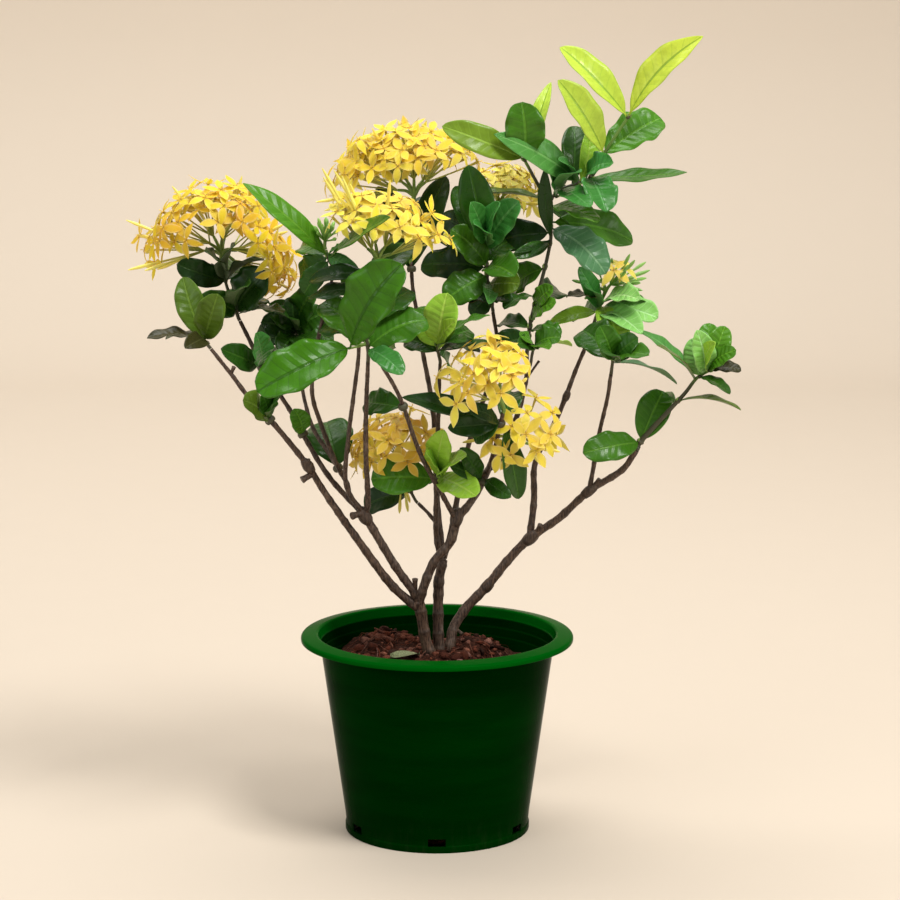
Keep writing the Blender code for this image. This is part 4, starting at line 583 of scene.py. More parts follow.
def soil_finish():
    """Reddish coir dust between the crumbs, with painted shade in its hollows."""
    finish = Finish("soil_bed", Specular_IOR_Level=0.1)
    grain = finish.noise(700.0, 5.0, 0.7)
    clod = finish.noise(130.0, 4.0, 0.6)
    cell = finish.node("TexVoronoi", {"Vector": finish.place(), "Scale": 420.0}, "Distance")
    colour = finish.mix(grain.between(0.35, 0.7), (0.017, 0.006, 0.003), (0.080, 0.025, 0.014))
    colour = finish.mix(clod.between(0.55, 0.75) * 0.5, colour, (0.13, 0.050, 0.030))
    # Painted shade: darker near the cell centres, where the bump sinks into hollows
    colour = finish.mix((0.35 - cell).clamped(), colour, (0.012, 0.007, 0.005))
    return finish.done(colour, grain * 0.1 + 0.85, finish.bump(grain + clod + cell, 1.0, 0.0016))


def crumb_finish():
    """Coir crumbs, bark chips and fibres, each with a tint of its own."""
    finish = Finish("soil_crumbs", Specular_IOR_Level=0.1)
    tint = finish.attribute("tint")
    grain = finish.noise(900.0, 4.0, 0.7)
    colour = finish.mix(grain.between(0.35, 0.7), finish.dimmed(tint, (0.4, 0.36, 0.34)), tint)
    return finish.done(colour, grain * 0.15 + 0.75, finish.bump(grain, 0.9, 0.0009))


def pot_finish(settings):
    """Semi-gloss green plastic: faint flow marks, dust near the foot and a lip made paler by a painted highlight."""
    finish = Finish("pot_plastic", Specular_IOR_Level=0.004, Specular_Tint=(0.25, 1.0, 0.3, 1.0))
    flow = finish.noise(1.0, 3.0, 0.5, finish.stretched((9.0, 9.0, 60.0)))
    speck = finish.noise(1800.0, 2.0)
    scuff = finish.noise(1.0, 5.0, 0.7, finish.stretched((260.0, 260.0, 40.0)))
    level = finish.split(finish.place())[2]
    # edge is the colour of the faint flow marks and of the lip's painted highlight
    edge = tuple(settings.flow_mark_and_lip_highlight_colour)
    colour = finish.mix(flow.between(0.3, 0.75) * 0.10, tuple(settings.colour), edge)
    # Painted highlight: the lip takes the paler colour where the rim catches the light
    colour = finish.mix(level.between(*LIP_HIGHLIGHT_FADE) * 0.9, colour, edge)
    colour = finish.mix(scuff.between(0.68, 0.82) * 0.08, colour, (0.05, 0.16, 0.05))
    dust = (1.0 - level.between(0.0, DUST_TOP)) * scuff.between(0.45, 0.7)
    colour = finish.mix(dust * 0.04, colour, (0.10, 0.11, 0.06))
    rough = speck * 0.06 + scuff * 0.16 + dust * 0.2 + (settings.roughness - 0.1)
    return finish.done(colour, rough, finish.bump(flow * 0.5 + speck * 0.04, 0.12, 0.0012))


# Shapes from grids

WELD = 4e-6
PATTERNS = {}


def take_arrays():
    """The points and the faces of the primitive just added, which is then deleted."""
    piece = bpy.context.object
    mesh = piece.data
    points = np.array([tuple(v.co) for v in mesh.vertices])
    faces = np.array([tuple(p.vertices) for p in mesh.polygons])
    bpy.data.objects.remove(piece, do_unlink=True)
    bpy.data.meshes.remove(mesh)
    return points, faces


def pattern(around, along):
    """A grid primitive as arrays: its places across and along from 0 to 1, and its faces."""
    if (around, along) not in PATTERNS:
        bpy.ops.object.select_all(action="DESELECT")
        bpy.ops.mesh.primitive_grid_add(x_subdivisions=around, y_subdivisions=along, size=2.0)
        points, faces = take_arrays()
        PATTERNS[(around, along)] = (points[:, :2] + 1.0) / 2.0, faces
    return PATTERNS[(around, along)]


def lump(steps):
    """A ball primitive as arrays."""
    bpy.ops.object.select_all(action="DESELECT")
    bpy.ops.mesh.primitive_ico_sphere_add(subdivisions=steps, radius=1.0)
    return take_arrays()


def choose(*pieces):
    bpy.ops.object.select_all(action="DESELECT")
    for piece in pieces:
        piece.select_set(True)
    bpy.context.view_layer.objects.active = pieces[0]


class Gather:
    """Copies of a few patterns, gathered into one mesh with a UV map, a tint, a second colour and material slots."""

    def __init__(self):
        self.points, self.faces, self.maps, self.tints, self.veins, self.slots = [], [], [], [], [], []
        self.count = 0

    def add(self, points, faces, places, tint, vein, mood=0.5, slot=0):
        """mood is one number for the copy, or one for each of its points."""
        self.points.append(points)
        self.faces.append(faces + self.count)
        self.maps.append(places)
        number = len(points)
        moods = np.full(number, mood) if np.isscalar(mood) else mood
        self.tints.append(np.column_stack((np.tile(tint, (number, 1)), moods)))
        self.veins.append(np.tile((*vein, 1.0), (number, 1)))
        self.slots.append(np.full(len(faces), slot))
        self.count += number

    def build(self, name, finishes, weld=True):
        mesh = bpy.data.meshes.new(name)
        faces = [tuple(face) for block in self.faces for face in block.tolist()]
        mesh.from_pydata(np.concatenate(self.points).tolist(), [], faces)
        loops = np.zeros(len(mesh.loops), dtype=np.int32)
        mesh.loops.foreach_get("vertex_index", loops)
        layer = mesh.uv_layers.new(name="UVMap")
        layer.data.foreach_set("uv", np.concatenate(self.maps)[loops].ravel())
        for label, rows in (("tint", self.tints), ("vein", self.veins)):
            attribute = mesh.attributes.new(label, "FLOAT_COLOR", "CORNER")
            attribute.data.foreach_set("color", np.concatenate(rows)[loops].ravel())
        mesh.polygons.foreach_set("material_index", np.concatenate(self.slots).astype(np.int32))
        mesh.polygons.foreach_set("use_smooth", np.ones(len(mesh.polygons), dtype=bool))
        piece = bpy.data.objects.new(name, mesh)
        bpy.context.scene.collection.objects.link(piece)
        if weld:
            choose(piece)
            bpy.ops.object.mode_set(mode="EDIT")
            bpy.ops.mesh.select_all(action="SELECT")
            bpy.ops.mesh.remove_doubles(threshold=WELD)
            bpy.ops.mesh.normals_make_consistent(inside=False)
            bpy.ops.object.mode_set(mode="OBJECT")
        for finish in finishes:
            mesh.materials.append(finish)
        return piece


def seen(point):
    """The place of a (column, row, depth) reading: along the eye's line of sight, at that depth in mm."""
    column, row, depth = point
    reach = depth * MM - EYE.y
    fall = EYE_TILT + math.atan((row - VIEW_CENTRE) / EYE_SCALE)
    height = EYE.z - reach * math.tan(fall)
    along = reach * math.cos(EYE_TILT) + (EYE.z - height) * math.sin(EYE_TILT)
    return Vector((EYE.x + (column - VIEW_CENTRE) * along / EYE_SCALE, depth * MM, height))


def unit(vector):
    return vector / np.linalg.norm(vector)


def turned(x, y, angle):
    c, s = math.cos(angle), math.sin(angle)
    return x * c - y * s, x * s + y * c


def stations(centre, along, steps):
    """Points at the steps before and after a centre."""
    return np.array(centre)[None, :] + np.array(along)[None, :] * np.asarray(steps)[:, None]


def smooth_path(points, step):
    """Points every step along a smooth curve through the given ones, and the curve's length so far at each."""
    rows = np.array([tuple(p) for p in points])
    rows = np.vstack((2 * rows[0] - rows[1], rows, 2 * rows[-1] - rows[-2]))
    path = []
    for i in range(1, len(rows) - 2):
        a, b, c, d = rows[i - 1:i + 3]
        parts = max(2, int(np.linalg.norm(c - b) / step + 0.5))
        for t in (k / parts for k in range(parts)):
            path.append(0.5 * (2 * b + (c - a) * t + (2 * a - 5 * b + 4 * c - d) * t * t
                               + (3 * b - 3 * c + d - a) * t ** 3))
    path = np.array(path + [rows[-2]])
    return path, np.concatenate(([0.0], np.cumsum(np.linalg.norm(np.diff(path, axis=0), axis=1))))


def carried_frames(path):
    """Two cross directions for each point of a path, carried along it without twisting."""
    tangents = np.gradient(path, axis=0)
    tangents /= np.linalg.norm(tangents, axis=1)[:, None]
    side = np.cross(tangents[0], (0.3, 0.9, 0.2))
    sides = []
    for tangent in tangents:
        side = unit(side - tangent * side.dot(tangent))
        sides.append(side)
    return np.array(sides), np.cross(tangents, sides)


def capped(rows):
    """The rows with the first and the last one twice, for the closed ends of a tube."""
    return np.concatenate((rows[:1], rows, rows[-1:]))


def add_tube(gather, path, radii, around, tint, vein=PLAIN, moods=None, slot=0, run=None):
    """A closed round tube along a path, its ends drawn in to a point. radii may be a row for each point."""
    sides, ups = (capped(rows) for rows in carried_frames(path))
    radii = np.asarray(radii, dtype=float)
    radii = capped(radii if radii.ndim == 2 else np.tile(radii[:, None], (1, around + 1)))
    radii[[0, -1]] = 0.0
    path = capped(path)
    last = len(path) - 1
    places, faces = pattern(around, last)
    columns = np.rint(places[:, 0] * around).astype(int) % around
    lines = np.rint(places[:, 1] * last).astype(int)
    angles = 2.0 * np.pi * columns / around
    reach = radii[lines, columns][:, None]
    points = path[lines] + (sides[lines] * np.cos(angles)[:, None] + ups[lines] * np.sin(angles)[:, None]) * reach
    maps = places.copy()
    if run is not None:
        maps[:, 1] = capped(run)[lines]
    gather.add(points, faces, maps, tint, vein, 0.5 if moods is None else capped(np.asarray(moods))[lines], slot)


def varied(tint, draw, spread=0.12):
    """The tint, a little lighter or darker and a little yellower or bluer."""
    level = 1.0 + draw.uniform(-spread, spread)
    warmth = draw.uniform(-spread, spread) * 0.6
    return (tint[0] * level * (1.0 + warmth), tint[1] * level, tint[2] * level * (1.0 - warmth))


def add_stalk(gather, points, step, ends, around, draw):
    """A green stalk through the points, with a radius at each end."""
    path, run = smooth_path(points, step)
    add_tube(gather, path, np.linspace(*ends, len(path)), around, varied(STALK_TINT, draw), slot=2, run=run)


def hide_behind(piece, node):
    """The piece moves with the one body and stands for a solid, if there is one like it."""
    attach(piece, "root")
    if node in ADDED:
        return
    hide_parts(node)


# Stems

BARK_SHARE = 0.75
STEM_STEP = 2.1 * MM
THICK_STEM = 4.0
NODE_SWELL = 0.13
NODE_WIDTH = 1.9 * MM
SCAR_SHIFT = 1.2 * MM
SCAR_WIDTH = 0.9 * MM
CROWN = (0.7, 18.0)
CROWN_RADIUS = 16.5
CROWN_TOP = 129.0
CROWN_BOTTOM = 104.5
KNUCKLE_STEPS = (-1.9, -1.4, -0.8, -0.2, 0.4, 1.0, 1.5, 1.9)
KNUCKLE_SHAPE = (0.55, 0.92, 1.08, 1.16, 1.12, 1.04, 0.86, 0.5)
KNUCKLE_SCARS = (0.1, 0.3, 0.7, 0.3, 0.6, 0.2, 0.4, 0.1)


def branch_path(name):
    return [seen(point) for point in BRANCHES[name].points]


def branch_radius(name, share=1.0):
    branch = BRANCHES[name]
    return (branch.start + (branch.end - branch.start) * share) * BARK_SHARE * MM


def column_angles(around):
    """The angles of a tube's columns, with the first again at the end."""
    return [2.0 * math.pi * (column % around) / around for column in range(around + 1)]


def bark_radii(run, start, end, around, draw, node_step):
    """Radii of a woody stem: a taper, swollen nodes with a scar ring at each, and uneven bark between them."""
    taper = start + (end - start) * run / run[-1]
    swell = np.zeros(len(run))
    scars = np.zeros(len(run))
    at = draw.uniform(0.3, 0.8) * node_step
    while at < run[-1]:
        swell += NODE_SWELL * np.exp(-((run - at) / NODE_WIDTH) ** 2)
        scars += np.exp(-((run - at - SCAR_SHIFT) / SCAR_WIDTH) ** 2)
        at += node_step * draw.uniform(0.7, 1.35)
    shift = Vector((draw.uniform(0, 50), draw.uniform(0, 50), draw.uniform(0, 50)))
    rows = []
    for length in run:
        spots = [Vector((math.cos(angle) * 1.3, math.sin(angle) * 1.3, length * 160.0)) + shift
                 for angle in column_angles(around)]
        rows.append([1.0 + 0.09 * noise.noise(spot) + 0.06 * noise.noise(spot * 3.1) for spot in spots])
    return (taper * (1.0 + swell))[:, None] * np.array(rows), np.clip(scars, 0.0, 1.0)


def add_knuckle(gather, centre, along, radius, draw):
    """A lumpy swelling round a fork or an old leaf joint."""
    around = 12
    rows = [[radius * share * (1.0 + 0.22 * noise.noise(
        Vector((math.cos(angle) * 1.2, math.sin(angle) * 1.2, share * 3.0)) + Vector(centre) * 900.0))
        for angle in column_angles(around)] for share in KNUCKLE_SHAPE]
    add_tube(gather, stations(centre, along, np.array(KNUCKLE_STEPS) * radius), rows, around,
             varied((0.75, 0.72, 0.70), draw), moods=KNUCKLE_SCARS)


def gather_stems(settings):
    draw = random.Random(5)
    gather = Gather()
    for name, branch in BRANCHES.items():
        path, run = smooth_path(branch_path(name), STEM_STEP)
        around = 14 if branch.start > THICK_STEM else 10
        radii, scars = bark_radii(run, branch_radius(name, 0.0), branch_radius(name), around, draw,
                                  settings.node_step)
        level = 1.25 if name.startswith(("trunk", "a_middle", "a_right")) else 0.9
        add_tube(gather, path, radii, around, varied((level, level * 0.96, level * 0.92), draw), moods=scars, run=run)
    for start, end, radius in STUBS:
        a, b = seen(start), seen(end)
        path, run = smooth_path((a, a.lerp(b, 0.5), b), 1.2 * MM)
        swell = 1.0 + 0.25 * np.exp(-((run - run[-1]) / (1.8 * MM)) ** 2)
        add_tube(gather, path, swell * radius * MM, 9, varied((1.0, 0.95, 0.9), draw),
                 moods=np.linspace(0.0, 0.5, len(run)), run=run)
    for name, index, swell in KNUCKLES:
        path = branch_path(name)
        last = len(path) - 1
        along = (path[min(index + 1, last)] - path[max(index - 1, 0)]).normalized()
        add_knuckle(gather, path[index], along, branch_radius(name, index / last) * swell, draw)
    foot, head = (Vector((*CROWN, level)) * MM for level in (CROWN_BOTTOM, CROWN_TOP))
    path, run = smooth_path((foot, foot.lerp(head, 0.5), head), 3.0 * MM)
    radii, scars = bark_radii(run, CROWN_RADIUS * 0.9 * MM, CROWN_RADIUS * 0.6 * MM, 18, draw, 9.0 * MM)
    add_tube(gather, path, radii, 18, (0.8, 0.75, 0.7), moods=scars, run=run)
    return gather


# Leaves and shoots

LEAF_GRID = (8, 28)
LEAF_FACING = (0.0, -0.75, 0.65)
# Rise and fall of a blade's outline, up to each ratio of length to width
BLADE_FORMS = ((2.2, (0.62, 0.46)), (3.4, (0.72, 0.62)), (math.inf, (0.85, 0.85)))
# Least and most fold along the middle of a blade, by tone and for every other tone
FOLDS = {"L": (0.34, 0.5)}
FLAT_FOLD = (0.08, 0.32)
LEAF_FOOT = 0.65 * MM
STALKED = 7.0 * MM
PETIOLE_REACH = 3.0 * MM
JOINT_GAP = 6.0 * MM
SEAT = 0.35 * MM
COLLAR_GAP = 2.2 * SEAT
COLLAR_WALL = 1.3 * MM
COLLAR_STEPS = (-2.2, -1.2, 0.0, 1.2, 2.2)
SHEATH_STEPS = (-1.5, -0.6, 0.4, 1.4)
TWIG_STEP = 2.0 * MM
TWIG_END = 1.1 * MM
TWIG_BEND = 2.5 * MM
FREE_TWIG = 1.5 * MM
# Made in one piece with the shoot that they grow on
SIDE_SHOOTS = {"tall_shoot": "tall_shoot_side"}


def blade_width(v, form):
    """Half width along the blade as a share of its greatest: a short stalk, then a full oval with a small point."""
    rise, fall = form
    peak = rise / (rise + fall)
    inner = np.clip((v - 0.05) / 0.95, 0.0, 1.0)
    return inner ** rise * (1.0 - inner) ** fall / (peak ** rise * (1.0 - peak) ** fall)


def add_leaf(gather, leaf, foot, draw):
    root, tip = np.array(foot), np.array(seen(leaf.tip))
    length = np.linalg.norm(tip - root)
    along = (tip - root) / length
    facing = np.array(LEAF_FACING)
    facing = unit(facing - along * facing.dot(along))
    across = np.cross(along, facing)
    roll = math.radians(leaf.roll)
    facing = unit(facing * math.cos(roll) - across * math.sin(roll))
    across = np.cross(along, facing)
    places, faces = pattern(*LEAF_GRID)
    u = places[:, 0] * 2.0 - 1.0
    side = np.abs(u)
    v = 0.62 * places[:, 1] + 0.19 * (1.0 - np.cos(np.pi * places[:, 1]))
    slim = length / leaf.width / MM
    form = next(form for limit, form in BLADE_FORMS if slim <= limit)
    width = np.maximum(blade_width(v, form) * leaf.width * MM / 2.0, LEAF_FOOT * (v < 0.9))
    fold = draw.uniform(*FOLDS.get(leaf.tone, FLAT_FOLD))
    phase, waves = draw.uniform(0.0, 6.28), draw.uniform(2.0, 3.4)
    wave = (0.08 if slim > 2.6 else 0.14) * np.sin(2.0 * np.pi * waves * v + phase + 1.9 * (u > 0.0)) * side ** 2.5
    curl = draw.uniform(-0.05, 0.10) * side ** 2
    bend = leaf.arch * MM * 4.0 * v * (1.0 - v)
    sway = draw.uniform(-0.035, 0.035) * length * np.sin(np.pi * v)
    twist = draw.uniform(-0.35, 0.35) * (v - 0.3)
    lift = (fold * side ** 1.25 + wave + curl) * width
    reach = u * width
    points = (root + along * (length * v)[:, None] + across * (reach * np.cos(twist) + sway)[:, None]
              + facing * (bend + lift + reach * np.sin(twist))[:, None])
    blade, vein, veined = TONES[leaf.tone]
    gather.add(points, faces, np.column_stack((places[:, 0], v)), varied(blade, draw), varied(vein, draw),
               veined * draw.uniform(0.8, 1.1))


def nearest_on(path, point):
    """The place on a path that is nearest to a point."""
    places = []
    for before, after in zip(path, path[1:]):
        step = after - before
        places.append(before + step * max(0.0, min(1.0, (point - before).dot(step) / step.length_squared)))
    return min(places, key=lambda place: (place - point).length)


def twig_path(shoot):
    """The green twig's middle line: it starts a fine gap above the end of its woody branch."""
    path = [seen(point) for point in shoot.twig]
    if shoot.branch:
        woody = branch_path(shoot.branch)
        end, along = woody[-1], (woody[-1] - woody[-2]).normalized()
        path = [end + along * SEAT, end + along * TWIG_BEND] + path
    return path


def add_node_sheath(gather, centre, along, radius, draw):
    """The pair of small pointed scales and the ring that mark a leaf joint."""
    add_tube(gather, stations(centre, along, np.array(SHEATH_STEPS) * MM), np.array((1.0, 1.28, 1.32, 1.02)) * radius,
             8, varied(TWIG_TINT, draw), slot=2, moods=(0.2, 0.6, 0.4, 0.2))
    side = np.array(along.orthogonal().normalized())
    for out in (-side, side):
        start = np.array(centre) + out * radius
        end = start + np.array(along) * 3.2 * MM + out * 0.8 * MM
        path = np.array((start, (start + end) / 2.0 + out * 0.35 * MM, end))
        add_tube(gather, path, np.array((0.9, 0.75, 0.15)) * MM, 5, varied(STALK_TINT, draw), slot=2)


def add_clasped(blades, stalks, shoot, leaves, draw):
    """Leaves on a collar round their woody branch."""
    index, share = shoot.clasp
    woody = branch_path(shoot.branch)
    centre = woody[index].lerp(woody[index + 1], share)
    lengths = [(b - a).length for a, b in zip(woody, woody[1:])]
    passed = (sum(lengths[:index]) + lengths[index] * share) / sum(lengths)
    outer = branch_radius(shoot.branch, passed) + COLLAR_GAP + COLLAR_WALL
    along = (woody[index + 1] - woody[index]).normalized()
    add_tube(stalks, stations(centre, along, np.array(COLLAR_STEPS) * MM),
             np.array((0.86, 1.0, 1.06, 1.0, 0.84)) * outer, 12, varied(TWIG_TINT, draw), slot=2,
             moods=(0.2, 0.4, 0.5, 0.4, 0.2))
    for leaf in leaves:
        outward = (seen(leaf.root) - centre).normalized()
        add_leaf(blades, leaf, centre + outward * outer * 0.8, draw)


def add_shoot(blades, stalks, shoot, leaves, draw):
    """Leaves on their green twig, those that stand off it on a stalk."""
    path = twig_path(shoot)
    start = branch_radius(shoot.branch) if shoot.branch else FREE_TWIG
    fine, run = smooth_path(path, TWIG_STEP)
    radii = start + (TWIG_END - start) * run / run[-1]
    add_tube(stalks, fine, radii, 9, varied(TWIG_TINT, draw), TWIG_TIP, moods=run / run[-1], slot=2, run=run)
    joints = []
    for leaf in leaves:
        root = seen(leaf.root)
        foot = nearest_on(path, root)
        if (foot - root).length > STALKED:
            end = root + (seen(leaf.tip) - root).normalized() * PETIOLE_REACH
            add_stalk(stalks, (foot, foot.lerp(end, 0.5), end), 1.5 * MM, (MM, 0.75 * MM), 6, draw)
        else:
            root = foot
        add_leaf(blades, leaf, root, draw)
        if all((foot - other).length > JOINT_GAP for other in joints):
            joints.append(foot)
    for joint in joints:
        near = int(np.argmin(np.linalg.norm(fine - np.array(joint), axis=1)))
        along = Vector(fine[min(near + 1, len(fine) - 1)] - fine[max(near - 1, 0)]).normalized()
        add_node_sheath(stalks, joint, along, float(radii[near]) * 1.05, draw)


def build_leafy_piece(name, finishes, settings):
    draw = random.Random(name)
    blades, stalks = Gather(), Gather()
    for member in (name, SIDE_SHOOTS.get(name)):
        if member:
            shoot = SHOOTS[member]
            leaves = [Leaf(row[:3], row[3:6], *row[6:]) for row in shoot.leaves]
            add = add_clasped if shoot.clasp else add_shoot
            add(blades, stalks, shoot, leaves, draw)
    dressed = blades.build("dressed_" + name, finishes, weld=False)
    choose(dressed)
    shell = dressed.modifiers.new("Thickness", "SOLIDIFY")
    shell.thickness = settings.thickness
    shell.offset = -1.0
    shell.material_offset = 1
    bpy.ops.object.modifier_apply(modifier=shell.name)
    choose(dressed, stalks.build(name + "_twig", finishes))
    bpy.ops.object.join()
    hide_behind(dressed, name)


# Flower heads

CORE_SHARE = 0.16
DOME = 0.85
BEHIND_SHIFT = 6.0
BEHIND_LEAST = 12.0 * MM
BEHIND_SWAY = 4.0
FLORET_GAP = 9.0 * MM
PAIR_REACH = 55.0 * MM
TRIES = 4000
FORK_SPREAD = 0.80
STALK_BEND = 3.0 * MM
PETAL_THROAT = 0.5
PETAL_REACH = 14.6
PETAL_STOPS = (0.0, 0.2, 0.42, 0.64, 0.84, 1.0)
PETAL_WIDTHS = (0.8, 2.3, 3.5, 3.1, 1.6, 0.0)
TUBE_RADII = np.array((0.62, 0.6, 0.62, 0.75, 1.15)) * MM
SPEAR_STOPS = np.array((0.0, 0.35, 0.62, 0.74, 0.86, 0.95, 1.0))
SPEAR_RADII = np.array((0.62, 0.6, 0.75, 1.25, 1.35, 0.85, 0.3)) * MM
SPEAR_TINTS = {True: ((0.26, 0.50, 0.10), (0.14, 0.30, 0.04)), False: ((0.92, 0.76, 0.14), (0.36, 0.42, 0.08))}
# Mean and spread of a small bud's lean in x, y and z, and its length as a share of the bud beside it
HEAD_LEAN, HEAD_SHARES = ((0, 0.003), (0, 0.003), (-0.003, 0.003)), (0.62, 0.9)
CLUSTER_LEAN, CLUSTER_SHARES = ((0, 0.0026), (0, 0.003), (-0.001, 0.002)), (0.7, 1.0)


def head_seat(head):
    if head.seat in BRANCHES:
        path, radius = branch_path(head.seat), branch_radius(head.seat)
    else:
        path, radius = twig_path(SHOOTS[head.seat]), TWIG_END
    end, along = path[-1], (path[-1] - path[-2]).normalized()
    return end + along * SEAT, along, radius


def floret_places(name, head):
    """Where the florets' faces are: those read in front, repeats behind, and more between them to fill the dome."""
    core = seen(head.core)
    radius = head.radius * MM
    draw = random.Random(len(head.florets))
    front, behind = [], []
    for k, spot in enumerate(head.florets + head.more):
        offset = seen((*spot, head.core[2])) - core
        depth = math.sqrt(max(0.0, radius * radius - offset.length_squared))
        front.append(seen((*spot, head.core[2] - depth / MM * DOME)))
        if k < len(head.florets) and k % head.behind == 0 and depth > BEHIND_LEAST:
            mirrored = seen((*spot, head.core[2] + depth / MM * DOME + BEHIND_SHIFT))
            mirrored.x += draw.uniform(-BEHIND_SWAY, BEHIND_SWAY) * MM
            behind.append(mirrored)
    draw = random.Random(name)
    known = front + behind
    extra, tries = [], 0
    while len(extra) < head.extra and tries < TRIES:
        tries += 1
        a, b = draw.sample(known, 2)
        way = (a - core).lerp(b - core, draw.uniform(0.3, 0.7)) + Vector(
            (draw.gauss(0.0, 0.004), draw.gauss(0.0, 0.006), draw.gauss(0.002, 0.004)))
        place = core + way.normalized() * ((a - core).length * draw.uniform(0.82, 0.98))
        way = place - core
        bare = head.bare and way.z < 0.3 * radius and abs(way.x) < 0.62 * radius
        spaced = all((place - other).length > FLORET_GAP for other in known + extra)
        if not bare and spaced and (a - b).length < PAIR_REACH:
            extra.append(place)
    return core, known + extra


def petal_points(angle, droop, scale, places):
    """One petal as a thin closed blade round the lens pattern: from the throat out to a small point."""
    ring = np.rint(places[:, 0] * 4).astype(int) % 4
    t = places[:, 1]
    width = np.interp(t, PETAL_STOPS, PETAL_WIDTHS) * scale
    flat, thick = np.zeros(len(t)), np.full(len(t), 0.14)
    x = PETAL_THROAT + (PETAL_REACH - PETAL_THROAT) * t * scale
    y = np.choose(ring, (width, flat, -width, flat))
    z = np.choose(ring, (0.20 * width, thick, 0.20 * width, -thick)) + 0.9 * t + (droop - 0.9) * t * t
    return np.column_stack((*turned(x, y, angle), z)) * MM


def basis(outward, turn):
    side = unit(np.cross(outward, (0.31, 0.22, 0.92)))
    up = np.cross(outward, side)
    c, s = math.cos(turn), math.sin(turn)
    return np.column_stack((side * c + up * s, up * c - side * s, outward))


def add_floret(gather, foot, face, draw, tints, size):
    """Four petals, their throat with its anthers and style, and the long slim tube down to the fork."""
    foot, face = np.array(foot), np.array(face)
    way = unit(face - foot)
    lean = np.array((draw.gauss(0.0, 0.16), draw.gauss(0.0, 0.16) - 0.12, draw.gauss(0.0, 0.14) + 0.04))
    matrix = basis(unit(way + lean), draw.uniform(0.0, math.pi / 2.0))
    level = draw.uniform(0.86, 1.08)
    tint = varied(tuple(a + (b - a) * draw.random() for a, b in zip(*tints)), draw, 0.06)
    tint = tuple(min(0.97, c * level) for c in tint)
    deep = (tint[0] * 0.92, tint[1] * 0.74, tint[2] * 0.5)
    places, faces = pattern(4, 6)
    droop = draw.choice((draw.uniform(-3.5, 1.5), draw.uniform(-8.0, -3.0), draw.uniform(0.0, 6.0)))
    for k in range(4):
        scale = draw.uniform(0.84, 1.06) * size
        angle = math.pi / 2.0 * k + draw.uniform(-0.12, 0.12)
        petal = petal_points(angle, droop + draw.uniform(-1.8, 1.8), scale, places)
        gather.add(petal @ matrix.T + face, faces, places, tint, deep)
    shares = np.linspace(0.0, 1.0, len(TUBE_RADII))
    bow = unit(np.cross(way, (0.2, 0.4, 0.9))) * draw.uniform(-1.6, 1.6) * MM
    path = np.linspace(foot, face, len(shares)) + bow[None, :] * np.sin(np.pi * shares)[:, None]
    add_tube(gather, path, TUBE_RADII, 5, (0.84, 0.74, 0.16), varied((0.34, 0.40, 0.07), draw), slot=1, run=shares)
    add_tube(gather, np.linspace(face, face + matrix[:, 2] * 3.4 * MM, 3), np.array((0.35, 0.3, 0.42)) * MM, 4,
             (0.80, 0.60, 0.10), (0.55, 0.33, 0.04), slot=1, run=np.linspace(0.6, 1.0, 3))
    for k in range(4):
        angle = math.pi / 2.0 * k + math.pi / 4.0
        out = matrix[:, 0] * math.cos(angle) + matrix[:, 1] * math.sin(angle)
        start, end = (face + (out * reach + matrix[:, 2] * rise) * MM for reach, rise in ((0.6, 0.3), (2.6, 0.9)))
        add_tube(gather, np.linspace(start, end, 3), np.array((0.3, 0.42, 0.2)) * MM, 3, (0.80, 0.52, 0.08),
                 (0.45, 0.26, 0.04), slot=1, run=np.linspace(0.2, 0.8, 3))


def add_spear(gather, foot, tip, draw, green):
    """A closed bud: a slim tube that swells below its point."""
    foot, way = np.array(foot), np.array(tip) - np.array(foot)
    sag = unit(np.cross(way, (0.5, 0.3, 0.8))) * draw.uniform(-1.2, 1.2) * MM
    path = foot[None, :] + np.outer(SPEAR_STOPS, way) + sag[None, :] * np.sin(np.pi * SPEAR_STOPS)[:, None]
    tints = [varied(tint, draw) for tint in SPEAR_TINTS[green]]
    add_tube(gather, path, SPEAR_RADII, 6, *tints, slot=1, run=SPEAR_STOPS)


def add_spears(gather, foot, tip, draw, leans, shares, green):
    """A closed bud, and two smaller ones that lean beside it."""
    add_spear(gather, foot, tip, draw, green)
    for _ in range(2):
        lean = Vector([draw.gauss(*reach) for reach in leans])
        add_spear(gather, foot, foot + (tip - foot) * draw.uniform(*shares) + lean, draw, green)


def build_head_piece(name, finishes):
    head = HEADS[name]
    draw = random.Random("bloom " + name)
    gather = Gather()
    core, places = floret_places(name, head)
    start, along, thick = head_seat(head)
    ball = CORE_SHARE * head.radius * MM
    add_stalk(gather, (start, start + along * STALK_BEND, core), 1.8 * MM, (thick, 1.7 * MM), 9, draw)
    ways = [(place - core).normalized() for place in places]
    spears = [seen(tip) for tip in head.spears]
    spear_ways = [(tip - core).normalized() for tip in spears]
    forks = []
    for way in ways + spear_ways:
        if all(way.dot(other) < FORK_SPREAD for other in forks):
            forks.append(way)
    knots = [core + way * ball * 1.5 for way in forks]
    for way, knot in zip(forks, knots):
        path = (core - along * ball * 0.4, core + way * ball * 0.7, knot)
        add_stalk(gather, path, 1.5 * MM, (1.5 * MM, 1.1 * MM), 7, draw)

    def knot_for(way):
        return knots[max(range(len(forks)), key=lambda k: forks[k].dot(way))]

    for place, way in zip(places, ways):
        add_floret(gather, knot_for(way), place, draw, head.tints, head.size)
    for tip, way in zip(spears, spear_ways):
        add_spears(gather, knot_for(way), tip, draw, HEAD_LEAN, HEAD_SHARES, head.green)
    bloom = gather.build("dressed_" + name, finishes)
    choose(bloom)
    bpy.ops.object.shade_smooth_by_angle(angle=math.radians(55.0))
    hide_behind(bloom, name)


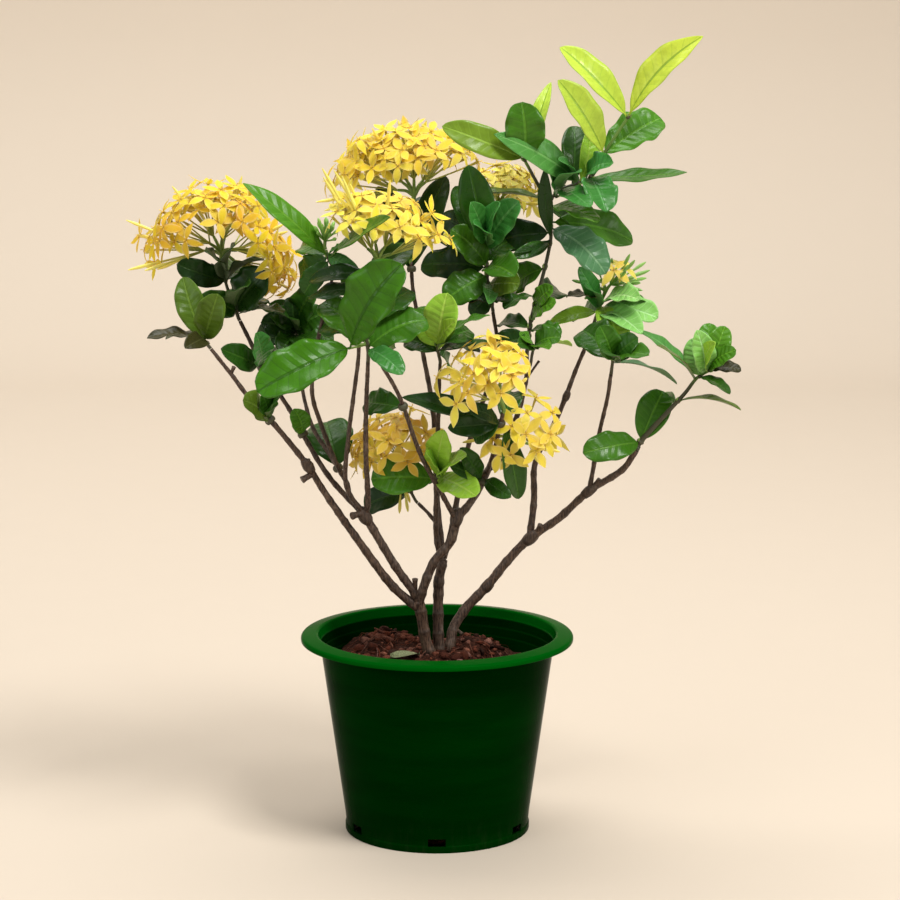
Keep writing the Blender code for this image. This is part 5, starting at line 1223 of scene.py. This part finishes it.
def build_bud_piece(finishes):
    draw = random.Random(31)
    gather = Gather()
    path = twig_path(SHOOTS["bud_shoot"])
    along = (path[-1] - path[-2]).normalized()
    start, centre = path[-1] + along * SEAT, seen(BUD_FOOT)
    add_stalk(gather, (start, start + along * TWIG_BEND, centre), 1.2 * MM, (1.1 * MM, 1.3 * MM), 8, draw)
    for tip in BUD_TIPS:
        add_spears(gather, centre, seen(tip), draw, CLUSTER_LEAN, CLUSTER_SHARES, True)
    hide_behind(gather.build("dressed_bud_cluster", finishes), "bud_cluster")


# Soil and pot, in mm

POT_HEIGHT = 150.0
RIM_RADIUS = 101.5
MOUTH_RADIUS = 88.6
SHOULDER_RADIUS = 87.2
BASE_RADIUS = 69.2
FOOT_STEP = 0.8
SHOULDER_DROP = 13.0
WALL = 1.7
FLOOR = 3.5
SKIRT = 2.8
POT_AROUND = 128
# Rings inside the lip: how far below it the wall is taken, how far the ring stands out from it, and its own drop
INNER_RINGS = ((7.0, 0.9, 6.4), (7.0, 0.0, 7.2), (14.0, 0.7, 13.6), (15.0, 0.0, 14.4), (21.0, 0.6, 20.6),
               (22.0, 0.0, 21.4))
# The box that cuts a drain notch, and its middle above the floor
DRAIN = (12.0, 13.0, 6.0)
DRAIN_LEVEL = 4.2
SOIL_LOW = 119.0
SOIL_MOST = 131.0
SOIL_CLEAR = 14.0
CROWN_CLEAR = 9.0
FIBRE_CLEAR = 8.0
# Mounds of the bed: x, y, spread and rise
MOUNDS = (
    (-42.0, 45.0, 34.0, 20.0), (30.0, 40.0, 24.0, 16.0), (-8.0, -38.0, 44.0, 7.0), (2.0, 16.0, 26.0, 9.0),
)
# The low place at the far right: x, y, spread and drop
HOLLOW = (66.0, 6.0, 34.0, 17.0)
BED_GRID = (120, 46)
BED_GAP = 0.9
BED_SIDE = 4
# Level and distance from the wall of the rings down the bed's side
BED_RINGS = ((SOIL_LOW - 28.0, BED_GAP), (60.0, BED_GAP), (FLOOR + 0.6, 8.0), (FLOOR + 0.6, None))
CRUMB_TINTS = ((0.125, 0.034, 0.018), (0.080, 0.022, 0.012), (0.19, 0.062, 0.036), (0.040, 0.014, 0.008),
               (0.27, 0.115, 0.080))
# Pale chips in front of the stems, at (x, y)
PLACED_CHIPS = ((12.0, -12.0), (20.0, -17.0), (28.0, -10.0), (37.0, -14.0), (44.0, -6.0), (17.0, -6.0), (-8.0, -16.0))
PLACED_TINT = (0.42, 0.20, 0.16)
CHIP_AROUND = 8
# The dry leaf scrap: its foot, its way to the tip, its width and its tint
DRY_FOOT = (-35.0, -2.0)
DRY_WAY = (22.0, 5.0)
DRY_WIDTH = 17.0
DRY_TINT = (0.26, 0.30, 0.16)


def soil_level(x, y):
    """Height of the bed at a place."""
    height = SOIL_LOW
    for mound_x, mound_y, spread, rise in MOUNDS:
        height += rise * math.exp(-(math.hypot(x - mound_x, y - mound_y) / spread) ** 2)
    hollow_x, hollow_y, spread, drop = HOLLOW
    height -= drop * math.exp(-(math.hypot(x - hollow_x, y - hollow_y) / spread) ** 4)
    spot = Vector((x, y, 0.0))
    height += 2.2 * noise.noise(spot * 0.045) + 1.5 * noise.noise(spot * 0.13) + 0.9 * noise.noise(spot * 0.37)
    near_crown = math.hypot(x - CROWN[0], y - CROWN[1]) < CROWN_RADIUS + 6.0
    return min(height, SOIL_MOST if near_crown else POT_HEIGHT - 6.0)


def wall_radius(height):
    """Radius of the pot's inner face at a height."""
    foot = BASE_RADIUS - FOOT_STEP
    return foot + (SHOULDER_RADIUS - foot) / (POT_HEIGHT - SHOULDER_DROP) * height - WALL


def gather_bed():
    """The heap of coir as one closed body: its top, the side along the pot's wall and the bottom."""
    around, rings = BED_GRID
    top = rings - BED_SIDE
    edge = wall_radius(SOIL_LOW) - BED_GAP
    places, faces = pattern(around, rings)
    points = []
    for u, v in places:
        angle, ring = -2.0 * math.pi * u, round(v * rings)
        if ring <= top:
            radius = edge * ring / top
            level = soil_level(*turned(radius, 0.0, angle))
            radius = min(radius, wall_radius(level) - 1.1)
        else:
            level, gap = BED_RINGS[ring - top - 1]
            radius = 0.0 if gap is None else wall_radius(level) - gap
        points.append((*turned(radius, 0.0, angle), level))
    gather = Gather()
    gather.add(np.array(points) * MM, faces, places, (0.1, 0.05, 0.03), PLAIN)
    return gather


def open_spot(draw):
    """A place on the bed, clear of the pot's wall and of the crown."""
    most = wall_radius(SOIL_LOW) - SOIL_CLEAR
    while True:
        x, y = draw.uniform(-80, 80), draw.uniform(-80, 80)
        if math.hypot(x, y) < most and math.hypot(x - CROWN[0], y - CROWN[1]) > CROWN_CLEAR:
            return x, y


def add_crumbs(gather, count, draw):
    balls = (lump(1), lump(2))
    for k in range(count):
        x, y = open_spot(draw)
        big = k % 6 == 0
        size = draw.uniform(2.6, 5.4) if big else draw.uniform(1.0, 2.8)
        shape, faces = balls[big]
        seed = Vector((k * 7.3, k * 3.1, 0.0))
        rough = np.array([1.0 + 0.55 * noise.noise(Vector(p) * 1.3 + seed) + 0.3 * noise.noise(Vector(p) * 3.3 + seed)
                          for p in shape])
        squash = np.array((draw.uniform(0.8, 1.5), draw.uniform(0.7, 1.1), draw.uniform(0.5, 0.85)))
        wide, deep, tall = (shape * rough[:, None] * squash * size).T
        local = np.column_stack((*turned(wide, deep, draw.uniform(0.0, 6.28)), tall))
        points = (local + np.array((x, y, soil_level(x, y) + size * 0.12))) * MM
        gather.add(points, faces, np.zeros((len(points), 2)), varied(draw.choice(CRUMB_TINTS), draw, 0.2), PLAIN)


def add_chips(gather, count, draw):
    shares = np.linspace(-0.5, 0.5, 6)
    for k in range(count):
        placed = k < len(PLACED_CHIPS)
        x, y = PLACED_CHIPS[k] if placed else open_spot(draw)
        way = draw.uniform(0.0, 6.28)
        length, broad, thick = draw.uniform(7.0, 15.0), draw.uniform(2.0, 4.2), draw.uniform(0.7, 1.5)
        tilt = draw.uniform(-0.35, 0.35)
        level = soil_level(x, y) + (2.8 if placed else draw.uniform(0.8, 2.4))
        along = shares * length
        path = np.column_stack((x + along * math.cos(way), y + along * math.sin(way), level + along * tilt)) * MM
        rows = [[broad / 2.0 * MM * (1.0 - 0.5 * abs(share) * draw.uniform(0.6, 1.4))
                 * math.hypot(math.cos(angle), thick / broad * math.sin(angle)) for angle in column_angles(CHIP_AROUND)]
                for share in shares]
        tint = PLACED_TINT if placed else draw.choice(CRUMB_TINTS[2:])
        add_tube(gather, path, rows, CHIP_AROUND, varied(tint, draw, 0.2))


def add_fibres(gather, count, draw):
    radii = np.array((0.15, 0.3, 0.34, 0.3, 0.26, 0.1)) * MM
    for _ in range(count):
        x, y = open_spot(draw)
        way, length = draw.uniform(0.0, 6.28), draw.uniform(9.0, 26.0)
        bend = draw.uniform(-1.3, 1.3)
        points = []
        for share in np.linspace(0.0, 1.0, len(radii)).tolist():
            px, py = turned(length * share, 0.0, way + bend * share)
            px, py = x + px, y + py
            inside = min(1.0, (wall_radius(SOIL_LOW) - FIBRE_CLEAR) / max(1.0, math.hypot(px, py)))
            px, py = px * inside, py * inside
            points.append((px, py, soil_level(px, py) + 1.0 + draw.uniform(0.0, 2.2) * math.sin(math.pi * share)))
        add_tube(gather, np.array(points) * MM, radii, 4, varied(draw.choice(CRUMB_TINTS), draw, 0.3))


def add_dry_leaf(gather):
    places, faces = pattern(*LEAF_GRID)
    u, v = places[:, 0] * 2.0 - 1.0, places[:, 1]
    x = DRY_FOOT[0] + DRY_WAY[0] * v
    y = DRY_FOOT[1] + DRY_WAY[1] * v + u * blade_width(v, (0.62, 0.5)) * DRY_WIDTH / 2.0
    level = max(soil_level(DRY_FOOT[0] + DRY_WAY[0] * k, DRY_FOOT[1] + DRY_WAY[1] * k)
                for k in (0.0, 0.25, 0.5, 0.75, 1.0))
    z = level + 1.6 + 1.6 * np.sin(3.0 * v + u) + np.abs(u) * 1.8
    gather.add(np.column_stack((x, y, z)) * MM, faces, places, DRY_TINT, PLAIN)


def gather_crumbs(settings):
    """Crumbs, bark chips, fibres and a dry leaf scrap lying on the bed."""
    draw = random.Random(21)
    gather = Gather()
    add_crumbs(gather, settings.crumbs, draw)
    add_chips(gather, settings.chips, draw)
    add_fibres(gather, settings.fibres, draw)
    add_dry_leaf(gather)
    return gather


def rounded(profile, radius, parts):
    """The profile with each inner corner cut into a small arc."""
    out = [profile[0]]
    for before, corner, after in zip(profile, profile[1:], profile[2:]):
        a, b, c = (np.array(p) for p in (before, corner, after))
        cut = min(radius, np.linalg.norm(a - b) * 0.45, np.linalg.norm(c - b) * 0.45)
        start, end = b + unit(a - b) * cut, b + unit(c - b) * cut
        for t in (k / parts for k in range(parts + 1)):
            out.append(tuple((1 - t) ** 2 * start + 2 * t * (1 - t) * b + t * t * end))
    return out + [profile[-1]]


def pot_outline():
    """Radius and height down the outside, over the lip and down the ringed inside."""
    foot, skirt = BASE_RADIUS - FOOT_STEP, POT_HEIGHT - 2.7 - SKIRT
    rings = [(wall_radius(POT_HEIGHT - wall) + out, POT_HEIGHT - drop) for wall, out, drop in INNER_RINGS]
    return (
        (0.0, 0.0), (BASE_RADIUS, 0.0), (BASE_RADIUS, 4.6), (foot, 5.4), (foot + 0.9, 14.0),
        (SHOULDER_RADIUS - 1.4, POT_HEIGHT - 18.0), (SHOULDER_RADIUS, POT_HEIGHT - 6.6),
        (SHOULDER_RADIUS + 1.8, POT_HEIGHT - 3.6), (RIM_RADIUS - 3.0, POT_HEIGHT - 3.9),
        (RIM_RADIUS - 1.6, POT_HEIGHT - 4.4), (RIM_RADIUS - 1.6, skirt), (RIM_RADIUS, skirt),
        (RIM_RADIUS, POT_HEIGHT - 2.7), (RIM_RADIUS - 1.2, POT_HEIGHT - 1.4),
        (MOUTH_RADIUS + 1.6, POT_HEIGHT), (MOUTH_RADIUS, POT_HEIGHT - 0.7),
        *rings, (wall_radius(FLOOR), FLOOR), (0.0, FLOOR),
    )


def build_pot_piece(settings):
    rows = np.array(rounded(pot_outline(), 0.7, 3))
    last = len(rows) - 1
    places, faces = pattern(POT_AROUND, last)
    radius, height = rows[np.rint(places[:, 1] * last).astype(int)].T
    angles = 2.0 * np.pi * (np.rint(places[:, 0] * POT_AROUND) % POT_AROUND) / POT_AROUND
    points = np.column_stack((radius * np.cos(angles), radius * np.sin(angles), height)) * MM
    gather = Gather()
    gather.add(points, faces, places, tuple(settings.colour), PLAIN)
    pot = gather.build("dressed_pot", ())
    drains = []
    for k in range(settings.drains):
        angle = math.radians(-90.0 + 360.0 * k / settings.drains)
        place = Vector((*turned(BASE_RADIUS - 2.0, 0.0, angle), FLOOR + DRAIN_LEVEL)) * MM
        bpy.ops.object.select_all(action="DESELECT")
        bpy.ops.mesh.primitive_cube_add(size=1.0, location=place, rotation=(0.0, 0.0, angle),
                                        scale=[side * MM for side in DRAIN])
        drains.append(bpy.context.object)
    choose(*drains)
    bpy.ops.object.join()
    cutter = bpy.context.object
    choose(pot)
    cut = pot.modifiers.new("Drains", "BOOLEAN")
    cut.operation = "DIFFERENCE"
    cut.object = cutter
    cut.solver = "EXACT"
    bpy.ops.object.modifier_apply(modifier=cut.name)
    bpy.data.objects.remove(cutter, do_unlink=True)
    choose(pot)
    bpy.ops.object.shade_smooth_by_angle(angle=math.radians(40.0))
    pot.data.materials.append(pot_finish(settings))
    hide_behind(pot, "pot")


# Stage

# The floor ends this far in front and curves up this far behind; then the curve's radius, the height and half width
SWEEP_FRONT, SWEEP_BACK, SWEEP_TURN, SWEEP_HIGH, SWEEP_WIDE = 6.0, 2.3, 0.6, 3.2, 7.0
# Shares of the sweep's grid where the floor and the curve end
FLOOR_SHARE, CURVE_SHARE = 0.4, 0.8
WORLD_COLOUR, WORLD_STRENGTH = (1.0, 0.98, 0.95, 1.0), 0.40


def build_sweep(settings):
    """A pale floor that curves up into a backdrop."""
    places, faces = pattern(4, 40)
    points = []
    for u, v in places:
        if v < FLOOR_SHARE:
            y, z = -SWEEP_FRONT + (SWEEP_FRONT + SWEEP_BACK) * v / FLOOR_SHARE, 0.0
        elif v < CURVE_SHARE:
            angle = (v - FLOOR_SHARE) / (CURVE_SHARE - FLOOR_SHARE) * math.pi / 2.0
            y, z = SWEEP_BACK + SWEEP_TURN * math.sin(angle), SWEEP_TURN * (1.0 - math.cos(angle))
        else:
            y = SWEEP_BACK + SWEEP_TURN
            z = SWEEP_TURN + (SWEEP_HIGH - SWEEP_TURN) * (v - CURVE_SHARE) / (1.0 - CURVE_SHARE)
        points.append(((u - 0.5) * 2.0 * SWEEP_WIDE, y, z))
    finish = Finish("stage_paint")
    grain = finish.noise(16.0, 4.0, 0.6)
    wall = tuple(settings.wall)
    colour = finish.mix(grain * 0.12, wall, tuple(c * 0.94 for c in wall))
    gather = Gather()
    gather.add(np.array(points), faces, places, PLAIN, PLAIN)
    sweep = gather.build("stage_sweep", (finish.done(colour, grain * 0.1 + 0.8),), weld=False)


def add_light(name, place, target, size, power, colour):
    lamp = bpy.data.lights.new(name, "AREA")
    lamp.shape = "SQUARE"
    lamp.size = size
    lamp.energy = power
    lamp.color = colour
    light = bpy.data.objects.new(name, lamp)
    bpy.context.scene.collection.objects.link(light)
    light.location = place
    light.rotation_euler = (Vector(target) - Vector(place)).to_track_quat("-Z", "Y").to_euler()


def build_lights(settings):
    for light in (
            ("key_light", (1.0, -1.25, 2.7), (0.0, 0.0, 0.3), 0.95, settings.key, (1.0, 0.985, 0.96)),
            ("fill_light", (-1.8, -1.6, 1.2), (0.0, 0.0, 0.3), 1.6, settings.fill, (0.95, 0.98, 1.0)),
            ("side_light", (2.1, -0.7, 0.75), (0.0, 0.0, 0.16), 0.7, settings.side, (1.0, 0.99, 0.96)),
            ("back_light", (-0.6, 1.3, 3.4), (-0.4, 2.9, 0.5), 2.4, settings.back, (1.0, 0.99, 0.97))):
        add_light(*light)
    world = bpy.data.worlds.new("studio")
    world.use_nodes = True
    background = world.node_tree.nodes["Background"]
    background.inputs["Color"].default_value = WORLD_COLOUR
    background.inputs["Strength"].default_value = WORLD_STRENGTH
    bpy.context.scene.world = world
    bpy.context.scene.view_settings.view_transform = "Standard"


def build_camera():
    lens = bpy.data.cameras.new("camera")
    lens.sensor_width = SENSOR
    lens.lens = EYE_SCALE / FRAME_WIDTH * SENSOR
    lens.clip_end = 30.0
    camera = bpy.data.objects.new("camera", lens)
    bpy.context.scene.collection.objects.link(camera)
    camera.location = EYE
    camera.rotation_euler = (math.pi / 2.0 - EYE_TILT, 0.0, 0.0)
    bpy.context.scene.camera = camera


# Settings


def colour_setting(name, description, default):
    return bpy.props.FloatVectorProperty(name=name, description=description, subtype="COLOR", default=default)


def number_setting(name, description, default, unit="NONE"):
    return bpy.props.FloatProperty(name=name, description=description, default=default, unit=unit)


def count_setting(name, description, default):
    return bpy.props.IntProperty(name=name, description=description, default=default)


class PotSettings(bpy.types.PropertyGroup):
    colour: colour_setting("Plastic", "Colour of the pot's wall", (0.0, 0.0125, 0.0004))
    # The lip colour is a painted highlight on the rim; the faint flow marks use it too
    flow_mark_and_lip_highlight_colour: colour_setting("Lip", "Colour where the plastic is thin or catches light", (0.0, 0.074, 0.003))
    roughness: number_setting("Roughness", "Roughness of the plastic", 0.18)
    drains: count_setting("Drain slots", "Number of slots at the foot", 6)


class SoilSettings(bpy.types.PropertyGroup):
    crumbs: count_setting("Crumbs", "Coir crumbs on the bed", 560)
    chips: count_setting("Chips", "Bark chips on the bed", 46)
    fibres: count_setting("Fibres", "Loose fibres on the bed", 300)


class StemSettings(bpy.types.PropertyGroup):
    # The crack colour is partly painted shade and the ridge colour partly painted light
    bark_dark: colour_setting("Bark, dark", "Bark in its cracks", (0.018, 0.010, 0.007))
    bark_light: colour_setting("Bark, light", "Bark on its ridges", (0.125, 0.078, 0.054))
    node_step: number_setting("Node spacing", "Mean distance between nodes", 0.0135, "LENGTH")


class LeafSettings(bpy.types.PropertyGroup):
    thickness: number_setting("Thickness", "Thickness of a blade", 0.00045, "LENGTH")
    roughness: number_setting("Roughness", "Roughness of a blade's top", 0.29)
    vein_pairs: number_setting("Vein pairs", "Side veins along a blade", 9.0)
    vein_strength: number_setting("Veins", "How much side veins show", 0.5)


class BloomSettings(bpy.types.PropertyGroup):
    pale_edges: number_setting("Pale edges", "How pale petal edges are", 0.35)


class StageSettings(bpy.types.PropertyGroup):
    wall: colour_setting("Backdrop", "Colour of floor and backdrop", (0.59, 0.508, 0.414))
    key: number_setting("Key light", "Power of the key light", 78.0, "POWER")
    fill: number_setting("Fill light", "Power of the fill light", 17.0, "POWER")
    side: number_setting("Side light", "Power of the light on the pot's right side", 7.65, "POWER")
    back: number_setting("Back light", "Power of the light on the backdrop", 95.2, "POWER")


# Operators


class IXORA_OT_pot(bpy.types.Operator):
    """Turn the moulded pot and cut its drain slots"""
    bl_idname = "ixora.pot"
    bl_label = "Pot"

    def execute(self, context):
        build_pot_piece(context.scene.ixora_pot)
        return {"FINISHED"}


class IXORA_OT_soil(bpy.types.Operator):
    """Heap the soil with its crumbs, chips and fibres"""
    bl_idname = "ixora.soil"
    bl_label = "Soil"

    def execute(self, context):
        bed_finishes = (soil_finish(), crumb_finish())
        bed = gather_bed().build("dressed_soil", bed_finishes)
        crumbs = gather_crumbs(context.scene.ixora_soil).build("crumbs", bed_finishes[1:], weld=False)
        choose(bed, crumbs)
        bpy.ops.object.join()
        hide_behind(bed, "soil")
        return {"FINISHED"}


class IXORA_OT_stems(bpy.types.Operator):
    """Grow the woody stems with their nodes, forks and cut stubs"""
    bl_idname = "ixora.stems"
    bl_label = "Stems"

    def execute(self, context):
        settings = context.scene.ixora_stems
        hide_behind(gather_stems(settings).build("dressed_branches", (bark_finish(settings),)), "branches")
        return {"FINISHED"}


class IXORA_OT_leaves(bpy.types.Operator):
    """Grow every leafy shoot"""
    bl_idname = "ixora.leaves"
    bl_label = "Leafy shoots"

    def execute(self, context):
        settings = context.scene.ixora_leaves
        finishes = (leaf_top_finish(settings), leaf_under_finish(settings), twig_finish())
        for name in SHOOTS:
            if name not in SIDE_SHOOTS.values():
                build_leafy_piece(name, finishes, settings)
        return {"FINISHED"}


class IXORA_OT_blooms(bpy.types.Operator):
    """Grow every flower head and the green bud cluster"""
    bl_idname = "ixora.blooms"
    bl_label = "Flower heads"

    def execute(self, context):
        finishes = (petal_finish(context.scene.ixora_blooms), tube_finish(), twig_finish())
        for name in HEADS:
            build_head_piece(name, finishes)
        build_bud_piece(finishes)
        return {"FINISHED"}


class IXORA_OT_stage(bpy.types.Operator):
    """Set the floor, the backdrop, the lights and the camera"""
    bl_idname = "ixora.stage"
    bl_label = "Stage"

    def execute(self, context):
        build_sweep(context.scene.ixora_stage)
        build_lights(context.scene.ixora_stage)
        build_camera()
        return {"FINISHED"}


class IXORA_PT_panel(bpy.types.Panel):
    """The ixora's pieces, in the order they are made"""
    bl_idname = "IXORA_PT_panel"
    bl_label = "Potted ixora"
    bl_space_type = "VIEW_3D"
    bl_region_type = "UI"
    bl_category = "Ixora"

    def draw(self, context):
        column = self.layout.column()
        for operator, group in STEPS:
            settings = getattr(context.scene, group)
            for label in settings.bl_rna.properties.keys():
                if label not in ("rna_type", "name"):
                    column.prop(settings, label)
            column.operator(operator)


STEPS = (
    ("ixora.pot", "ixora_pot"), ("ixora.soil", "ixora_soil"), ("ixora.stems", "ixora_stems"),
    ("ixora.leaves", "ixora_leaves"), ("ixora.blooms", "ixora_blooms"), ("ixora.stage", "ixora_stage"),
)
GROUPS = {
    "ixora_pot": PotSettings, "ixora_soil": SoilSettings, "ixora_stems": StemSettings,
    "ixora_leaves": LeafSettings, "ixora_blooms": BloomSettings, "ixora_stage": StageSettings,
}
CLASSES = (
    *GROUPS.values(), IXORA_OT_pot, IXORA_OT_soil, IXORA_OT_stems, IXORA_OT_leaves, IXORA_OT_blooms,
    IXORA_OT_stage, IXORA_PT_panel,
)


def register():
    for kind in CLASSES:
        bpy.utils.register_class(kind)
    for label, kind in GROUPS.items():
        setattr(bpy.types.Scene, label, bpy.props.PointerProperty(type=kind))


def unregister():
    for label in GROUPS:
        delattr(bpy.types.Scene, label)
    for kind in reversed(CLASSES):
        bpy.utils.unregister_class(kind)


def main():
    register()
    bpy.ops.ixora.pot()
    bpy.ops.ixora.soil()
    bpy.ops.ixora.stems()
    bpy.ops.ixora.leaves()
    bpy.ops.ixora.blooms()
    bpy.ops.ixora.stage()


if __name__ == "__main__":
    main()
